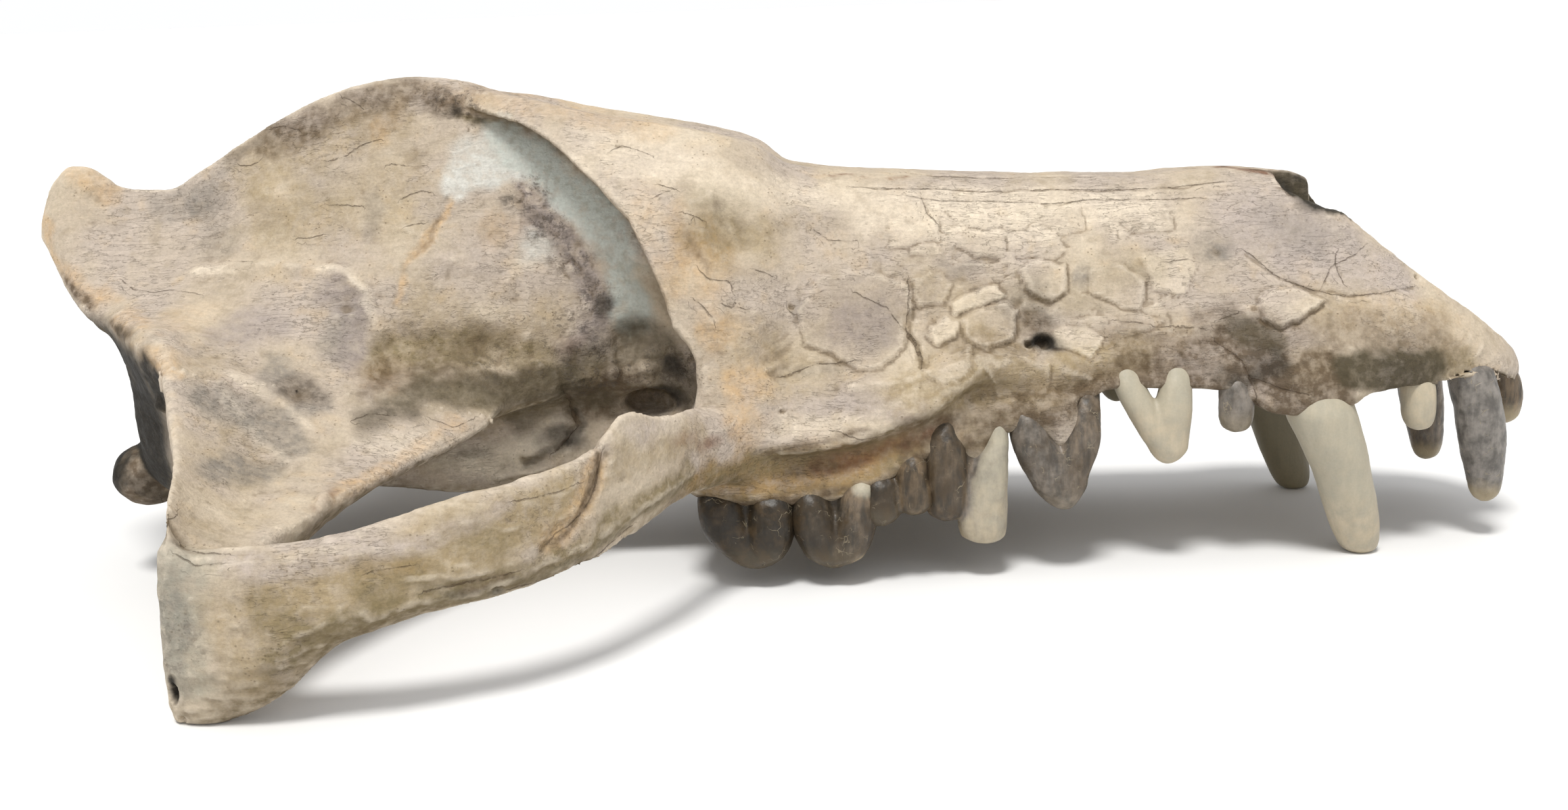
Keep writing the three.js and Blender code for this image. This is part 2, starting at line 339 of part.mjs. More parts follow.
function mesh(name, s, look) {
  const m = s.subtract(tableCut).getMesh();
  const g = new THREE.BufferGeometry();
  const p = new Float32Array(m.numVert * 3);
  for (let i = 0; i < m.numVert; i++) p.set(m.vertProperties.subarray(i * m.numProp, i * m.numProp + 3), i * 3);
  g.setAttribute("position", new THREE.BufferAttribute(p, 3));
  g.setIndex(new THREE.BufferAttribute(new Uint32Array(m.triVerts), 1));
  g.computeVertexNormals();
  const made = new THREE.Mesh(g, new THREE.MeshStandardMaterial(look));
  made.name = name;
  pitched.add(made);
}
mesh("braincase", casePiece, BONE);
mesh("face", facePiece, BONE);
mesh("cheek_arch_right", archRight, BONE);
mesh("cheek_arch_left", flipped(archRight), BONE);
mesh("canine_right", canine, ENAMEL);
mesh("canine_left", flipped(canine), ENAMEL);

export default skull;
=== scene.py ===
"""Fossil skull of a giant long-snouted hoofed predator: looks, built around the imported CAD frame.

Everything is shaped in the skull's own frame, in millimetres (+X to the snout, +Y to the animal's
left, +Z up), and then pitched and lifted as it rests. The bone is one field of distances on a grid,
blended from lofts through the skull's named long lines, cut for orbit, nostril and foramina,
meshed, given its relief, thinned, and parted into the same pieces as the CAD model.
"""
import math

import bpy
import numpy as np
from mathutils import Matrix, Vector
from mathutils.geometry import tessellate_polygon


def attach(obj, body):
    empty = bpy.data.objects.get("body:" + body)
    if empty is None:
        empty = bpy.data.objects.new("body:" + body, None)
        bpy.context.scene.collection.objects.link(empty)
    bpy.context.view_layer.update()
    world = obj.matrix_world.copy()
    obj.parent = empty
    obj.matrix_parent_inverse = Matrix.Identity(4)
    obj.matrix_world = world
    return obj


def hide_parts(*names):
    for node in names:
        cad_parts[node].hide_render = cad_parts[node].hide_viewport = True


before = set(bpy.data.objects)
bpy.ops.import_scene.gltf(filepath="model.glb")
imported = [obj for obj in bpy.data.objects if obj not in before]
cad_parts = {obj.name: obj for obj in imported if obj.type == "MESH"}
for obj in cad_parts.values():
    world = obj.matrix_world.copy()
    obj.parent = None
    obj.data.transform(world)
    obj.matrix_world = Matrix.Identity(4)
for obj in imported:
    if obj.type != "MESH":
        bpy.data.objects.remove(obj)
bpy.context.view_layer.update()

REST_PITCH = math.radians(1.87)
REST_LIFT = 79.8
REST_SHIFT = -1.2
STEP = 1.6  # grid step of the bone, mm
TOOTH_STEP = 1.0
BONE_TRIANGLES = 195000  # most per piece

# ------------------------------------------------------------------ the skull's long lines, mm
BRAINCASE = {
    "crest_top": [[-432, 0, 112], [-424, 0, 131], [-412, 0, 141.5], [-404, 0, 141], [-394, 0, 135.5], [-380, 0, 129], [-358, 0, 128.5], [-338, 0, 139], [-308, 0, 158.5], [-277, 0, 175.5], [-245, 0, 187.5], [-215, 0, 192.5], [-185, 0, 190], [-150, 0, 177], [-109, 0, 160], [-60, 0, 145]],
    "crest_flank": [[-432, 3, 111], [-412, 6, 137], [-404, 6.5, 136], [-380, 6, 122], [-358, 5, 121], [-338, 6, 131], [-277, 7, 164], [-215, 8, 182], [-185, 10, 180], [-150, 16, 165], [-109, 26, 148], [-60, 34, 120]],
    "upper_wall": [[-432, 4, 108], [-424, 9, 117], [-412, 13, 118], [-394, 15, 110], [-380, 16, 107], [-338, 15, 112], [-300, 18, 130], [-260, 18, 146], [-215, 20, 156], [-180, 22, 152], [-150, 27, 142], [-120, 34, 126], [-100, 42, 112], [-80, 50, 100], [-60, 52, 88]],
    "mid_wall": [[-432, 5, 105], [-424, 12, 104], [-412, 24, 99], [-394, 31, 92], [-380, 34, 89], [-328, 34, 92], [-300, 36, 98], [-260, 36, 112], [-215, 38, 118], [-180, 38, 113], [-150, 38, 106], [-120, 38, 96], [-100, 42, 84], [-80, 46, 74], [-60, 48, 66]],
    "bulge": [[-432, 5, 104], [-424, 14, 99], [-412, 27, 89], [-394, 44, 78], [-380, 54, 72], [-360, 64, 70], [-328, 76, 67], [-300, 74, 62], [-260, 72, 66], [-215, 68, 68], [-180, 63, 62], [-150, 58, 56], [-120, 52, 52], [-100, 48, 50], [-80, 46, 46], [-60, 46, 42]],
    "ledge": [[-432, 5, 102], [-424, 15, 96], [-412, 28, 80], [-404, 38, 73], [-394, 50, 67], [-380, 63, 62], [-360, 86, 60], [-328, 119, 54], [-300, 112, 30], [-260, 98, 18], [-215, 90, 10], [-180, 84, 12], [-150, 76, 18], [-120, 66, 26], [-100, 58, 30], [-80, 52, 28], [-60, 48, 22]],
    "under_ledge": [[-432, 4, 101], [-424, 12, 94], [-412, 22, 78], [-404, 28, 71], [-394, 42, 64], [-388, 48, 60], [-382, 54, 56], [-376, 58, 53], [-369, 63, 47], [-360, 74, 36], [-346, 86, 24], [-328, 94, 12], [-300, 92, -2], [-260, 80, -8], [-215, 66, -2], [-180, 56, 2], [-150, 50, 8], [-120, 46, 12], [-100, 45, 14], [-80, 44, 12], [-60, 43, 8]],
    "pterygoid_wall": [[-432, 3, 101], [-424, 8, 94], [-412, 14, 78], [-404, 18, 71], [-394, 26, 64], [-388, 30, 57], [-382, 28, 50], [-376, 38, 36], [-369, 52, 10], [-360, 68, -6], [-346, 78, -18], [-328, 84, -24], [-300, 80, -26], [-260, 62, -26], [-215, 50, -20], [-180, 47, -19], [-150, 46, -15], [-120, 46, -11], [-80, 46, -8], [-60, 45, -8]],
    "base_edge": [[-432, 2, 101], [-424, 4, 94], [-412, 7, 78], [-404, 9, 73], [-394, 12, 66], [-388, 15, 56], [-382, 16, -2], [-376, 24, -15], [-369, 34, -25], [-360, 48, -33], [-328, 60, -40], [-300, 52, -40], [-260, 44, -36], [-215, 40, -40], [-190, 38, -43], [-150, 38, -38], [-120, 40, -32], [-80, 42, -24], [-60, 41, -22]],
    "base_middle": [[-432, 0, 101], [-424, 0, 94], [-412, 0, 78], [-404, 0, 74], [-394, 0, 67], [-388, 0, 54], [-382, 0, -6], [-376, 0, -16], [-369, 0, -21], [-360, 0, -26], [-328, 0, -32], [-300, 0, -32], [-260, 0, -30], [-215, 0, -22], [-190, 0, -12], [-150, 0, -6], [-100, 0, 0], [-60, 0, 4]],
}
FACE = {
    "roof_middle": [[-195, 0, 186], [-150, 0, 178], [-109, 0, 169], [-46, 0, 160], [-17, 0, 153], [3, 0, 144], [30, 0, 140], [68, 0, 138.5], [188, 0, 137], [251, 0, 141], [290, 0, 139], [305, 0, 133], [326, 0, 112], [367, 0, 82], [410, 0, 51], [430, 0, 34]],
    "roof_side": [[-195, 5, 184], [-150, 20, 182], [-109, 32, 173], [-46, 30, 163.5], [-17, 26, 156], [3, 20, 143], [68, 15, 138], [188, 15, 136.5], [251, 15, 140], [290, 16, 137], [305, 18, 132], [326, 22, 112], [367, 22, 82], [410, 14, 51], [430, 5, 34]],
    "shoulder": [[-195, 8, 180], [-170, 24, 172], [-141, 42, 165], [-108, 60, 148], [-80, 64, 142], [-46, 56, 145], [-17, 48, 140], [3, 38, 133], [30, 35, 130], [68, 32, 128], [188, 30, 128], [251, 30, 131], [290, 32, 126], [305, 36, 122], [326, 38, 108], [367, 38, 79], [410, 30, 49], [430, 10, 33]],
    "upper_side": [[-195, 9, 174], [-170, 26, 165], [-141, 44, 158], [-108, 66, 136], [-80, 78, 122], [-46, 76, 120], [-17, 66, 116], [3, 56, 112], [30, 52, 109], [68, 49, 108], [188, 45, 108], [251, 45, 110], [290, 48, 104], [326, 50, 92], [367, 48, 68], [410, 38, 44], [430, 14, 31]],
    "mid_side": [[-195, 9, 168], [-170, 26, 156], [-141, 44, 148], [-108, 68, 122], [-80, 82, 104], [-46, 90, 92], [-17, 80, 88], [3, 70, 86], [30, 66, 84], [68, 62, 84], [125, 60, 84], [188, 57, 84], [251, 57, 86], [290, 62, 80], [326, 62, 72], [367, 56, 56], [410, 43, 39], [430, 17, 29]],
    "lower_side": [[-195, 9, 160], [-141, 44, 140], [-108, 68, 112], [-80, 86, 84], [-46, 98, 62], [-17, 93, 58], [3, 80, 56], [30, 76, 54], [68, 77, 52], [95, 78, 54], [125, 72, 56], [188, 67, 60], [251, 67, 62], [290, 76, 56], [326, 74, 52], [367, 60, 44], [410, 45, 34], [430, 18, 27]],
    "facial_crest": [[-195, 9, 150], [-141, 40, 130], [-108, 60, 100], [-80, 90, 60], [-46, 104, 36], [-17, 106, 10], [3, 104, 2], [35, 102, 7], [63, 100, 17], [82, 98, 26], [95, 94, 36], [110, 88, 44], [146, 81, 39], [188, 76, 48], [251, 77, 45], [290, 86, 36], [326, 80, 36], [367, 62, 34], [410, 45, 28], [430, 18, 23]],
    "under_crest": [[-195, 9, 145], [-108, 60, 80], [-80, 90, 40], [-46, 102, 8], [-17, 100, -6], [3, 96, -8], [35, 93, -5], [63, 92, 3], [82, 90, 10], [95, 88, 18], [110, 85, 26], [146, 81, 24], [188, 76, 37], [251, 79, 32], [290, 88, 22], [326, 80, 26], [367, 62, 29], [410, 44, 22], [430, 17, 19]],
    "alveolar_outer": [[-195, 8, 140], [-108, 50, 60], [-80, 80, 10], [-46, 98, -27], [-17, 101, -32], [3, 101, -32], [35, 100, -28], [74, 95, -10], [100, 92, 0], [132, 87, 8], [160, 82, 22], [188, 78, 28], [240, 78, 27], [270, 82, 14], [290, 84, 12], [310, 80, 18], [326, 74, 26], [352, 65, 26], [392, 56, 33], [410, 44, 28], [430, 16, 16]],
    "alveolar_inner": [[-195, 6, 140], [-108, 40, 60], [-80, 60, 0], [-46, 72, -30], [3, 74, -31], [35, 73, -27], [74, 70, -8], [132, 62, 9], [188, 56, 28], [240, 56, 27], [290, 54, 16], [326, 50, 24], [352, 44, 25], [392, 36, 30], [410, 28, 26], [430, 8, 16]],
    "palate_middle": [[-195, 0, 140], [-108, 0, 50], [-80, 0, 10], [-46, 0, -2], [3, 0, 2], [35, 0, 6], [74, 0, 14], [132, 0, 26], [188, 0, 40], [240, 0, 42], [290, 0, 40], [326, 0, 38], [352, 0, 36], [392, 0, 34], [410, 0, 30], [430, 0, 17]],
}
ROOT = {
    "crest": [[70, -362, 62], [95, -346, 58], [120, -327, 54], [160, -311, 33], [200, -296, 18], [240, -286, 9], [262, -280, 2], [272, -277, -8]],
    "saddle_back": [[70, -345, 63], [120, -304, 46], [160, -290, 25], [200, -281, 9], [240, -275, -1], [262, -272, -6], [272, -270, -14]],
    "saddle": [[70, -270, 60], [120, -262, 33], [160, -262, 11], [200, -258, -2], [240, -257, -9], [262, -258, -12], [272, -260, -18]],
    "ledge": [[70, -160, 30], [95, -165, 17], [120, -180, 10], [160, -205, 2], [200, -226, -6], [240, -241, -13], [262, -244, -17], [272, -248, -24]],
    "front": [[70, -174, 14], [95, -180, 5], [120, -194, -4], [160, -218, -13], [200, -236, -23], [240, -246, -38], [262, -250, -50], [272, -254, -52]],
    "fossa": [[70, -234, -14], [120, -238, -18], [160, -242, -26], [200, -247, -40], [240, -252, -58], [262, -252, -66], [272, -256, -66]],
    "postglenoid": [[70, -275, -30], [120, -272, -44], [160, -270, -54], [200, -268, -68], [240, -268, -86], [262, -265, -90.5], [272, -263, -84]],
    "heel": [[70, -330, -20], [120, -306, -22], [160, -294, -32], [200, -285, -50], [240, -281, -80], [262, -279, -90], [272, -274, -80]],
    "back": [[70, -346, 14], [120, -318, 8], [160, -305, -4], [200, -291, -16], [240, -284, -30], [262, -281, -40], [272, -277, -44]],
}
ARCH = {
    "top": [[-281, 268, -5], [-245, 270, -3], [-209, 268, 0], [-175, 263, 8], [-148, 255, 15.6], [-125, 242, 19], [-101, 220, 23], [-90, 206, 28], [-78, 186, 39], [-62, 158, 31], [-47, 124, 27], [-30, 108, 20], [-5, 90, 8]],
    "out_high": [[-281, 272, -18], [-245, 278, -16], [-209, 276, -8], [-175, 270, 0], [-148, 262, 8], [-125, 249, 11], [-101, 228, 15], [-78, 194, 25], [-62, 168, 21], [-47, 138, 18], [-30, 118, 13], [-5, 98, 4]],
    "out_low": [[-281, 272, -62], [-245, 281, -58], [-209, 280, -38], [-175, 274, -26], [-148, 265, -20], [-125, 252, -16], [-101, 231, -12], [-78, 198, -8], [-62, 173, -5], [-47, 142, -3], [-30, 120, -6], [-5, 98, -6]],
    "bottom": [[-281, 262, -88], [-270, 264, -90.5], [-250, 266, -86], [-229, 268, -74], [-200, 266, -49], [-183, 264, -43], [-165, 260, -38], [-138, 250, -34], [-115, 236, -31], [-91, 212, -27], [-72, 178, -22], [-51, 140, -17], [-30, 110, -18], [-5, 92, -14]],
    "in_low": [[-281, 254, -62], [-245, 256, -58], [-209, 258, -38], [-175, 253, -26], [-148, 245, -20], [-125, 231, -16], [-101, 208, -12], [-78, 174, -8], [-62, 142, -4], [-47, 110, -4], [-30, 88, -6], [-5, 75, -6]],
    "in_high": [[-281, 258, -18], [-245, 258, -16], [-209, 259, -8], [-175, 254, 0], [-148, 246, 8], [-125, 232, 11], [-101, 209, 15], [-78, 174, 25], [-62, 143, 20], [-47, 108, 18], [-30, 88, 12], [-5, 75, 2]],
}
TEETH = {
    "incisor_1": [[[34, 410, 18, 8, 8], [24, 417, 18, 11, 9], [12, 421, 18, 11, 9], [0, 422, 17, 9.5, 8], [-7, 423, 17, 4.5, 4]]],
    "incisor_2": [[[42, 386, 32, 8, 6], [31, 389, 46, 13.5, 11], [4, 396, 49, 14, 11.5], [-23, 401, 48, 11.5, 10], [-38, 403, 47, 9, 8], [-46, 403.5, 47, 4.5, 4]]],
    "incisor_3": [[[36, 353, 54, 8, 7], [24, 355, 60, 10, 9], [10, 356, 62, 9.3, 8.5], [2, 356.5, 62, 6.5, 6], [-0.5, 356.5, 62, 3, 3]]],
    "premolar_1": [[[40, 249, 66, 7, 7], [26, 250, 74, 10, 8], [12, 250, 76, 9.8, 8.5], [5, 250.5, 75.5, 7.5, 6.5], [2, 250.5, 75.5, 3.5, 3.5]]],
    "premolar_2": [
        [[42, 187, 66, 7, 7], [28, 191, 74, 9, 8], [12, 200, 77, 10, 8.5], [-2, 208, 78, 9, 8], [-9, 212, 77.5, 6, 6]],
        [[42, 217, 68, 7, 7], [28, 216, 75, 9, 8], [10, 214, 78, 11, 9], [-5, 213, 78, 11, 9], [-15.5, 213, 77.5, 4.5, 4]],
  ],
    "premolar_3": [
        [[26, 131, 72, 8, 7], [8, 134, 82, 10.5, 9], [-10, 142, 85, 14, 10], [-26, 150, 85, 13, 10], [-39.5, 155, 84, 5, 4]],
        [[32, 168, 70, 6, 6], [14, 166, 80, 8.5, 8], [-4, 162, 84, 11.5, 9.5], [-24, 156, 84, 12, 10], [-39, 156, 84, 5, 4]],
  ],
    "premolar_4": [
        [[18, 88, 76, 8, 8], [-2, 88, 88, 11, 9.5], [-22, 89, 91, 12, 10], [-38, 90, 91, 11, 9], [-44, 90, 91, 6, 6]],
        [[10, 103, 74, 6, 7], [-4, 103, 80, 7, 8], [-16, 102, 84, 6, 8], [-22, 101, 84, 3, 4]],
        [[22, 117, 76, 5.5, 7], [2, 116.6, 85, 6.4, 8], [-10, 114, 88, 9, 9], [-22, 111.6, 89, 11.6, 10], [-44, 109.8, 89, 13.8, 11], [-53, 110.2, 89, 12.4, 10], [-57, 110.4, 89, 8, 7]],
  ],
    "molar_1": [
        [[0, 70, 78, 9, 10], [-15, 70, 90, 10, 12], [-32, 71, 91, 11, 13], [-40.5, 71, 91, 6, 8]],
        [[-10, 53, 78, 9, 10], [-24, 53, 91, 11, 12], [-38, 53, 93, 11.5, 13], [-46.5, 53, 93, 6, 8]],
  ],
    "molar_2": [
        [[-16, 40, 78, 10, 12], [-30, 40, 92, 11, 13], [-48, 38, 95, 12.5, 14], [-62, 34, 95, 11, 12], [-68, 31, 95, 6, 7]],
        [[-18, 14, 78, 10, 12], [-32, 15, 92, 11.5, 13], [-48, 18, 95, 13.5, 14], [-62, 23, 95, 12, 12], [-69, 26, 95, 7, 7]],
        [[-18, 43, 92, 5, 5], [-24, 42, 96, 7, 7], [-31, 40.5, 98, 7, 7], [-35, 39, 98, 4, 4.5]],
        [[-14, 27.5, 84, 5, 8], [-30, 27.5, 88, 6, 9], [-46, 28, 90, 6, 9], [-50, 28, 90, 3, 4]],
  ],
    "molar_3": [
        [[-20, -8, 78, 11, 12], [-34, -7, 92, 13, 13], [-50, -8, 95, 14, 14], [-62, -11, 95, 12, 12], [-69.5, -14, 95, 7, 7]],
        [[-20, -36, 78, 10, 12], [-34, -35, 91, 12.5, 13], [-48, -31, 94, 14, 13], [-60, -24, 95, 12, 11], [-69, -18, 95, 7, 7]],
        [[-16, -21.5, 84, 5, 8], [-34, -21.5, 88, 6, 9], [-48, -21, 90, 6, 9], [-52, -21, 90, 3, 4]],
  ],
}
TEMPORAL_LINE = [[-215, -215], [-190, -200], [-177, -179], [-166, -141], [-142, -108], [-123, -87], [-100, -75], [-82, -66], [-66, -60], [-56, -53], [-46, -47], [-34, -45], [-24, -47], [-8, -53], [10, -56], [90, -62]]
CANINE = [[56, 287, 62, 13, 10], [36, 292, 68, 16.5, 12.5], [24, 294.5, 72.5, 18.6, 15], [12, 297.5, 76, 19.6, 16.8], [0, 302.7, 76, 18.6, 16.2], [-22, 312, 73, 16.2, 14.5], [-45, 320, 69.5, 14.8, 12.6], [-60, 324.6, 67.5, 12.6, 10.8], [-67, 326.4, 67, 9.8, 8.8], [-70.4, 327, 67, 6.2, 6]]
NOSTRIL = [ 
  [222, 98, 10, 12], [250, 98, 20, 20], [285, 98, 27, 27], [315, 92, 32, 32], [345, 84, 34, 30], [378, 69, 33, 24], [402, 56, 27, 17], [418, 49, 16, 13], [428, 46, 6, 8],
]
NOSTRIL_LIFT = [[300, 0], [315, 24], [330, 34], [360, 34], [400, 26], [430, 16]]
PAROCCIPITAL = [[0, -324, 86, 14, 12], [-25, -323, 88, 12, 11], [-44, -322, 89, 9, 8], [-55, -321, 89, 4, 4]]
# Ridges (+) and grooves (-): width and height in mm, then points (x, w, z) along each.
RELIEF_LINES = {
    "parietal suture rim": (4.5, 2.2, [(-330, 42, 86), (-311, 42, 89), (-292, 45, 90), (-272, 51, 90), (-252, 55, 89), (-241, 58, 87), (-234, 63, 80), (-230, 67, 72), (-223, 73, 60)]),
    "vein": (2.6, -0.8, [(-188, 33, 126), (-193, 37, 117), (-197, 42, 109), (-198, 44, 104), (-203, 49, 98), (-209, 53, 93), (-213, 57, 87), (-214, 62, 79), (-215, 66, 71)]),
    "swirl": (4.5, -0.7, [(-252, 77, 60), (-255, 72, 67), (-252, 68, 72), (-244, 66, 75), (-234, 64, 77)]),
    "mastoid ridge": (5.5, 1.1, [(-314, 140, 45), (-306, 125, 46), (-296, 114, 46), (-284, 115, 42), (-274, 120, 37), (-263, 125, 30), (-253, 134, 23), (-246, 138, 19)]),
    "mastoid ridge low": (5, 0.9, [(-293, 127, 40), (-281, 138, 29), (-270, 149, 19), (-260, 159, 11), (-250, 162, 8), (-243, 159, 8)]),
    "fossa furrow": (13, -5.5, [(-214, 76, 53), (-196, 73, 51), (-179, 70, 49), (-158, 65, 46), (-133, 62, 41), (-108, 56, 39), (-87, 46, 48)]),
    "fossa swell": (9, 2.4, [(-183, 63, 64), (-170, 58, 68), (-154, 55, 65), (-144, 56, 56)]),
    "hook rim": (3.2, 1.3, [(-157, 51, 77), (-155, 48, 82), (-151, 47, 84), (-146, 47, 80), (-143, 50, 72), (-145, 54, 64)]),
    "fossa ridge front": (6, 1.6, [(-211, 39, 117), (-199, 48, 99), (-184, 49, 93), (-166, 45, 94)]),
    "arch furrow": (3.4, -1.8, [(-87, 207, 24), (-88, 211, 16), (-90, 215, 9), (-93, 221, 2), (-99, 229, -4), (-106, 236, -7), (-111, 241, -12)]),
    "arch lower edge": (4, 1.6, [(-186, 275, -33), (-164, 269, -29), (-148, 261, -29), (-131, 253, -25), (-111, 240, -20), (-98, 226, -16), (-81, 202, -11), (-64, 176, -6), (-46, 140, -1)]),
    "arch lower furrow": (2.6, -1.1, [(-161, 269, -24), (-147, 264, -23), (-135, 257, -22), (-123, 249, -21)]),
    "arch low furrow 2": (2.6, -0.8, [(-127, 247, -30), (-111, 234, -29), (-93, 216, -26), (-76, 191, -17)]),
    "glenoid rim furrow": (4.5, -1.6, [(-280, 254, 5), (-274, 257, -3), (-263, 270, -5), (-249, 273, -5), (-233, 272, -3), (-212, 270, -1)]),
    "arch shoulder": (8, 1.6, [(-262, 275, -10), (-232, 276, -10), (-202, 275, -6), (-174, 269, 1), (-146, 261, 10), (-119, 242, 16)]),
    "orbit lip": (5, 2.5, [(-60, 98, 64), (-53, 97, 52), (-48, 98, 42), (-47, 99, 32), (-51, 104, 25), (-58, 120, 26)]),
    "suborbital ridge": (12, 3, [(-29, 107, 23), (-5, 96, 28), (24, 89, 32), (53, 91, 30), (80, 92, 35), (102, 91, 41)]),
    "lacrimal ridge": (8, 2, [(-48, 66, 134), (-52, 76, 122), (-49, 85, 105), (-46, 91, 89), (-40, 95, 71)]),
    "deep groove": (1.8, -2, [(68, 70, 67), (67, 73, 59), (73, 78, 52), (75, 83, 45), (75, 86, 40)]),
    "groove g": (1.2, -0.7, [(77, 32, 127), (80, 40, 119), (85, 44, 114), (94, 44, 113)]),
    "zygoma base rim": (3.5, 1.5, [(38, 90, 30), (56, 91, 30), (77, 91, 35), (93, 90, 41), (110, 87, 46), (128, 82, 45), (146, 81, 39), (168, 78, 32)]),
    "crack low left": (1.4, -0.8, [(-1, 90, 37), (16, 84, 42), (38, 82, 43)]),
    "flake edge": (1.5, 0.3, [(266, 66, 69), (269, 63, 77), (278, 62, 80), (287, 64, 77), (298, 64, 74), (292, 69, 69), (279, 71, 63), (271, 71, 60)]),
    "front crack": (1.4, -1.1, [(257, 51, 99), (268, 56, 90), (275, 59, 85), (293, 62, 79), (311, 62, 76), (331, 58, 77), (353, 47, 79)]),
    "front crack b": (1.1, -0.6, [(308, 50, 99), (306, 53, 92), (310, 58, 83)]),
    "front crack c": (1.1, -0.6, [(297, 61, 80), (303, 55, 90), (306, 53, 92)]),
    "snout under ridge": (5, 2.4, [(184, 69, 57), (206, 69, 58), (228, 69, 59), (242, 68, 61), (251, 66, 65), (258, 65, 69)]),
    "canine wall crack": (1.6, -1.6, [(238, 73, 53), (251, 78, 43), (257, 80, 30), (263, 79, 16)]),
    "canine wall crack b": (1.5, -1.3, [(257, 80, 33), (272, 84, 29), (285, 88, 26)]),
    "premaxilla lip": (6, 2, [(312, 84, 25), (304, 83, 39), (312, 79, 46), (343, 72, 43), (369, 60, 38)]),
    "nasal seam 1": (1.3, -1.1, [(70, 11, 139), (85, 14, 138), (119, 16, 137), (138, 11, 137), (160, 14, 137), (175, 14, 137)]),
    "nasal seam 2": (1.2, -0.9, [(39, 30, 133), (88, 27, 131), (117, 28, 130), (151, 26, 131), (189, 26, 131), (226, 26, 133), (251, 24, 135)]),
    "nasal seam 3": (1.1, -0.5, [(72, 32, 127), (88, 34, 125), (113, 33, 125), (150, 34, 124), (169, 32, 126), (206, 32, 126), (235, 33, 127)]),
    "forehead line": (2, -0.9, [(-92, 49, 157), (-84, 48, 158), (-75, 50, 155)]),
    "crest brow line": (2.5, -0.8, [(-144, 31, 176), (-132, 34, 175), (-118, 36, 172)]),
    "pterygoid crevice": (3.5, -2.6, [(-122, 66, 25), (-122, 45, 9), (-118, 45, -1), (-125, 46, -10), (-133, 46, -18), (-148, 45, -24)]),
    "pterygoid fold": (4, 2, [(-118, 46, -6), (-130, 46, -18), (-148, 44, -28), (-164, 44, -31)]),
}
# Swells (+) and hollows (-): height, centre (x, w, z) and radii along and up, in mm.
RELIEF_SPOTS = {
    "suborbital hollow": (-4, (-6, 90, 46), 25, 22),
    "preorbital hollow": (-4.5, (-27, 72, 116), 21, 22),
    "oval plate": (-0.3, (40, 71, 65), 25, 28),
    "snout hollow": (-3, (136, 65, 71), 15, 13),
    "temple knob 1": (6, (-97, 57, 32), 7, 7),
    "temple knob 2": (5, (-78, 50, 33), 10, 6),
    "occiput knob": (4, (-332, 108, 26), 4, 8),
    "hook pit": (-0.8, (-151, 51, 72), 5, 5),
    "vault pit": (-1.6, (-241, 69, 70), 7, 4),
    "glenoid lump": (2.5, (-226, 193, -4), 5, 5),
    "postglenoid hole": (-7, (-278, 272, -72), 3, 7),
    "postglenoid notch": (-5, (-276, 269, -86), 2, 3),
    "mastoid hollow": (-2.5, (-256, 117, 33), 13, 12),
    "cheek hollow": (-2.5, (-212, 86, 40), 21, 11),
    "crest pit 1": (-2.2, (-178, 16, 171), 2, 2),
    "crest pit 2": (-1.8, (-179, 18, 164), 1, 2),
    "wall hollow 1": (-1.8, (-206, 24, 149), 17, 11),
    "wall swell 1": (1.8, (-233, 37, 117), 18, 15),
    "wall swell 2": (1.5, (-289, 22, 126), 22, 15),
    "brow swell": (2, (-83, 73, 132), 25, 15),
    "infraorbital hole": (-10, (143, 73, 53), 7, 5),
    "infraorbital hole 2": (-6, (135, 74, 52), 4, 3),
    "infraorbital slope": (-2.6, (136, 69, 60), 17, 11),
    "infraorbital knob": (3.5, (139, 75, 50), 3, 3),
    "front smudge dent": (-1.2, (240, 51, 99), 9, 6),
    "flake hole": (-2, (259, 65, 69), 3, 3),
    "tip hole": (-2.8, (357, 41, 84), 2, 2),
    "canine root swell": (2.5, (280, 84, 40), 21, 28),
    "under hollow": (-2.5, (339, 71, 50), 25, 9),
    "tooth bank hollow 1": (-2, (110, 85, 26), 25, 9),
    "cheek pit": (-1.8, (-1, 98, 19), 3, 2),
    "arch pit": (-2.5, (-132, 253, -28), 3, 2),
    "dark pit 1": (-1.4, (4, 75, 72), 3, 3),
    "dark pit 2": (-1.2, (-5, 92, 39), 5, 4),
    "nape pit": (-1.5, (-407, 9, 128), 1, 1),
    "hook hollow": (-1.5, (-395, 9, 125), 11, 8),
}
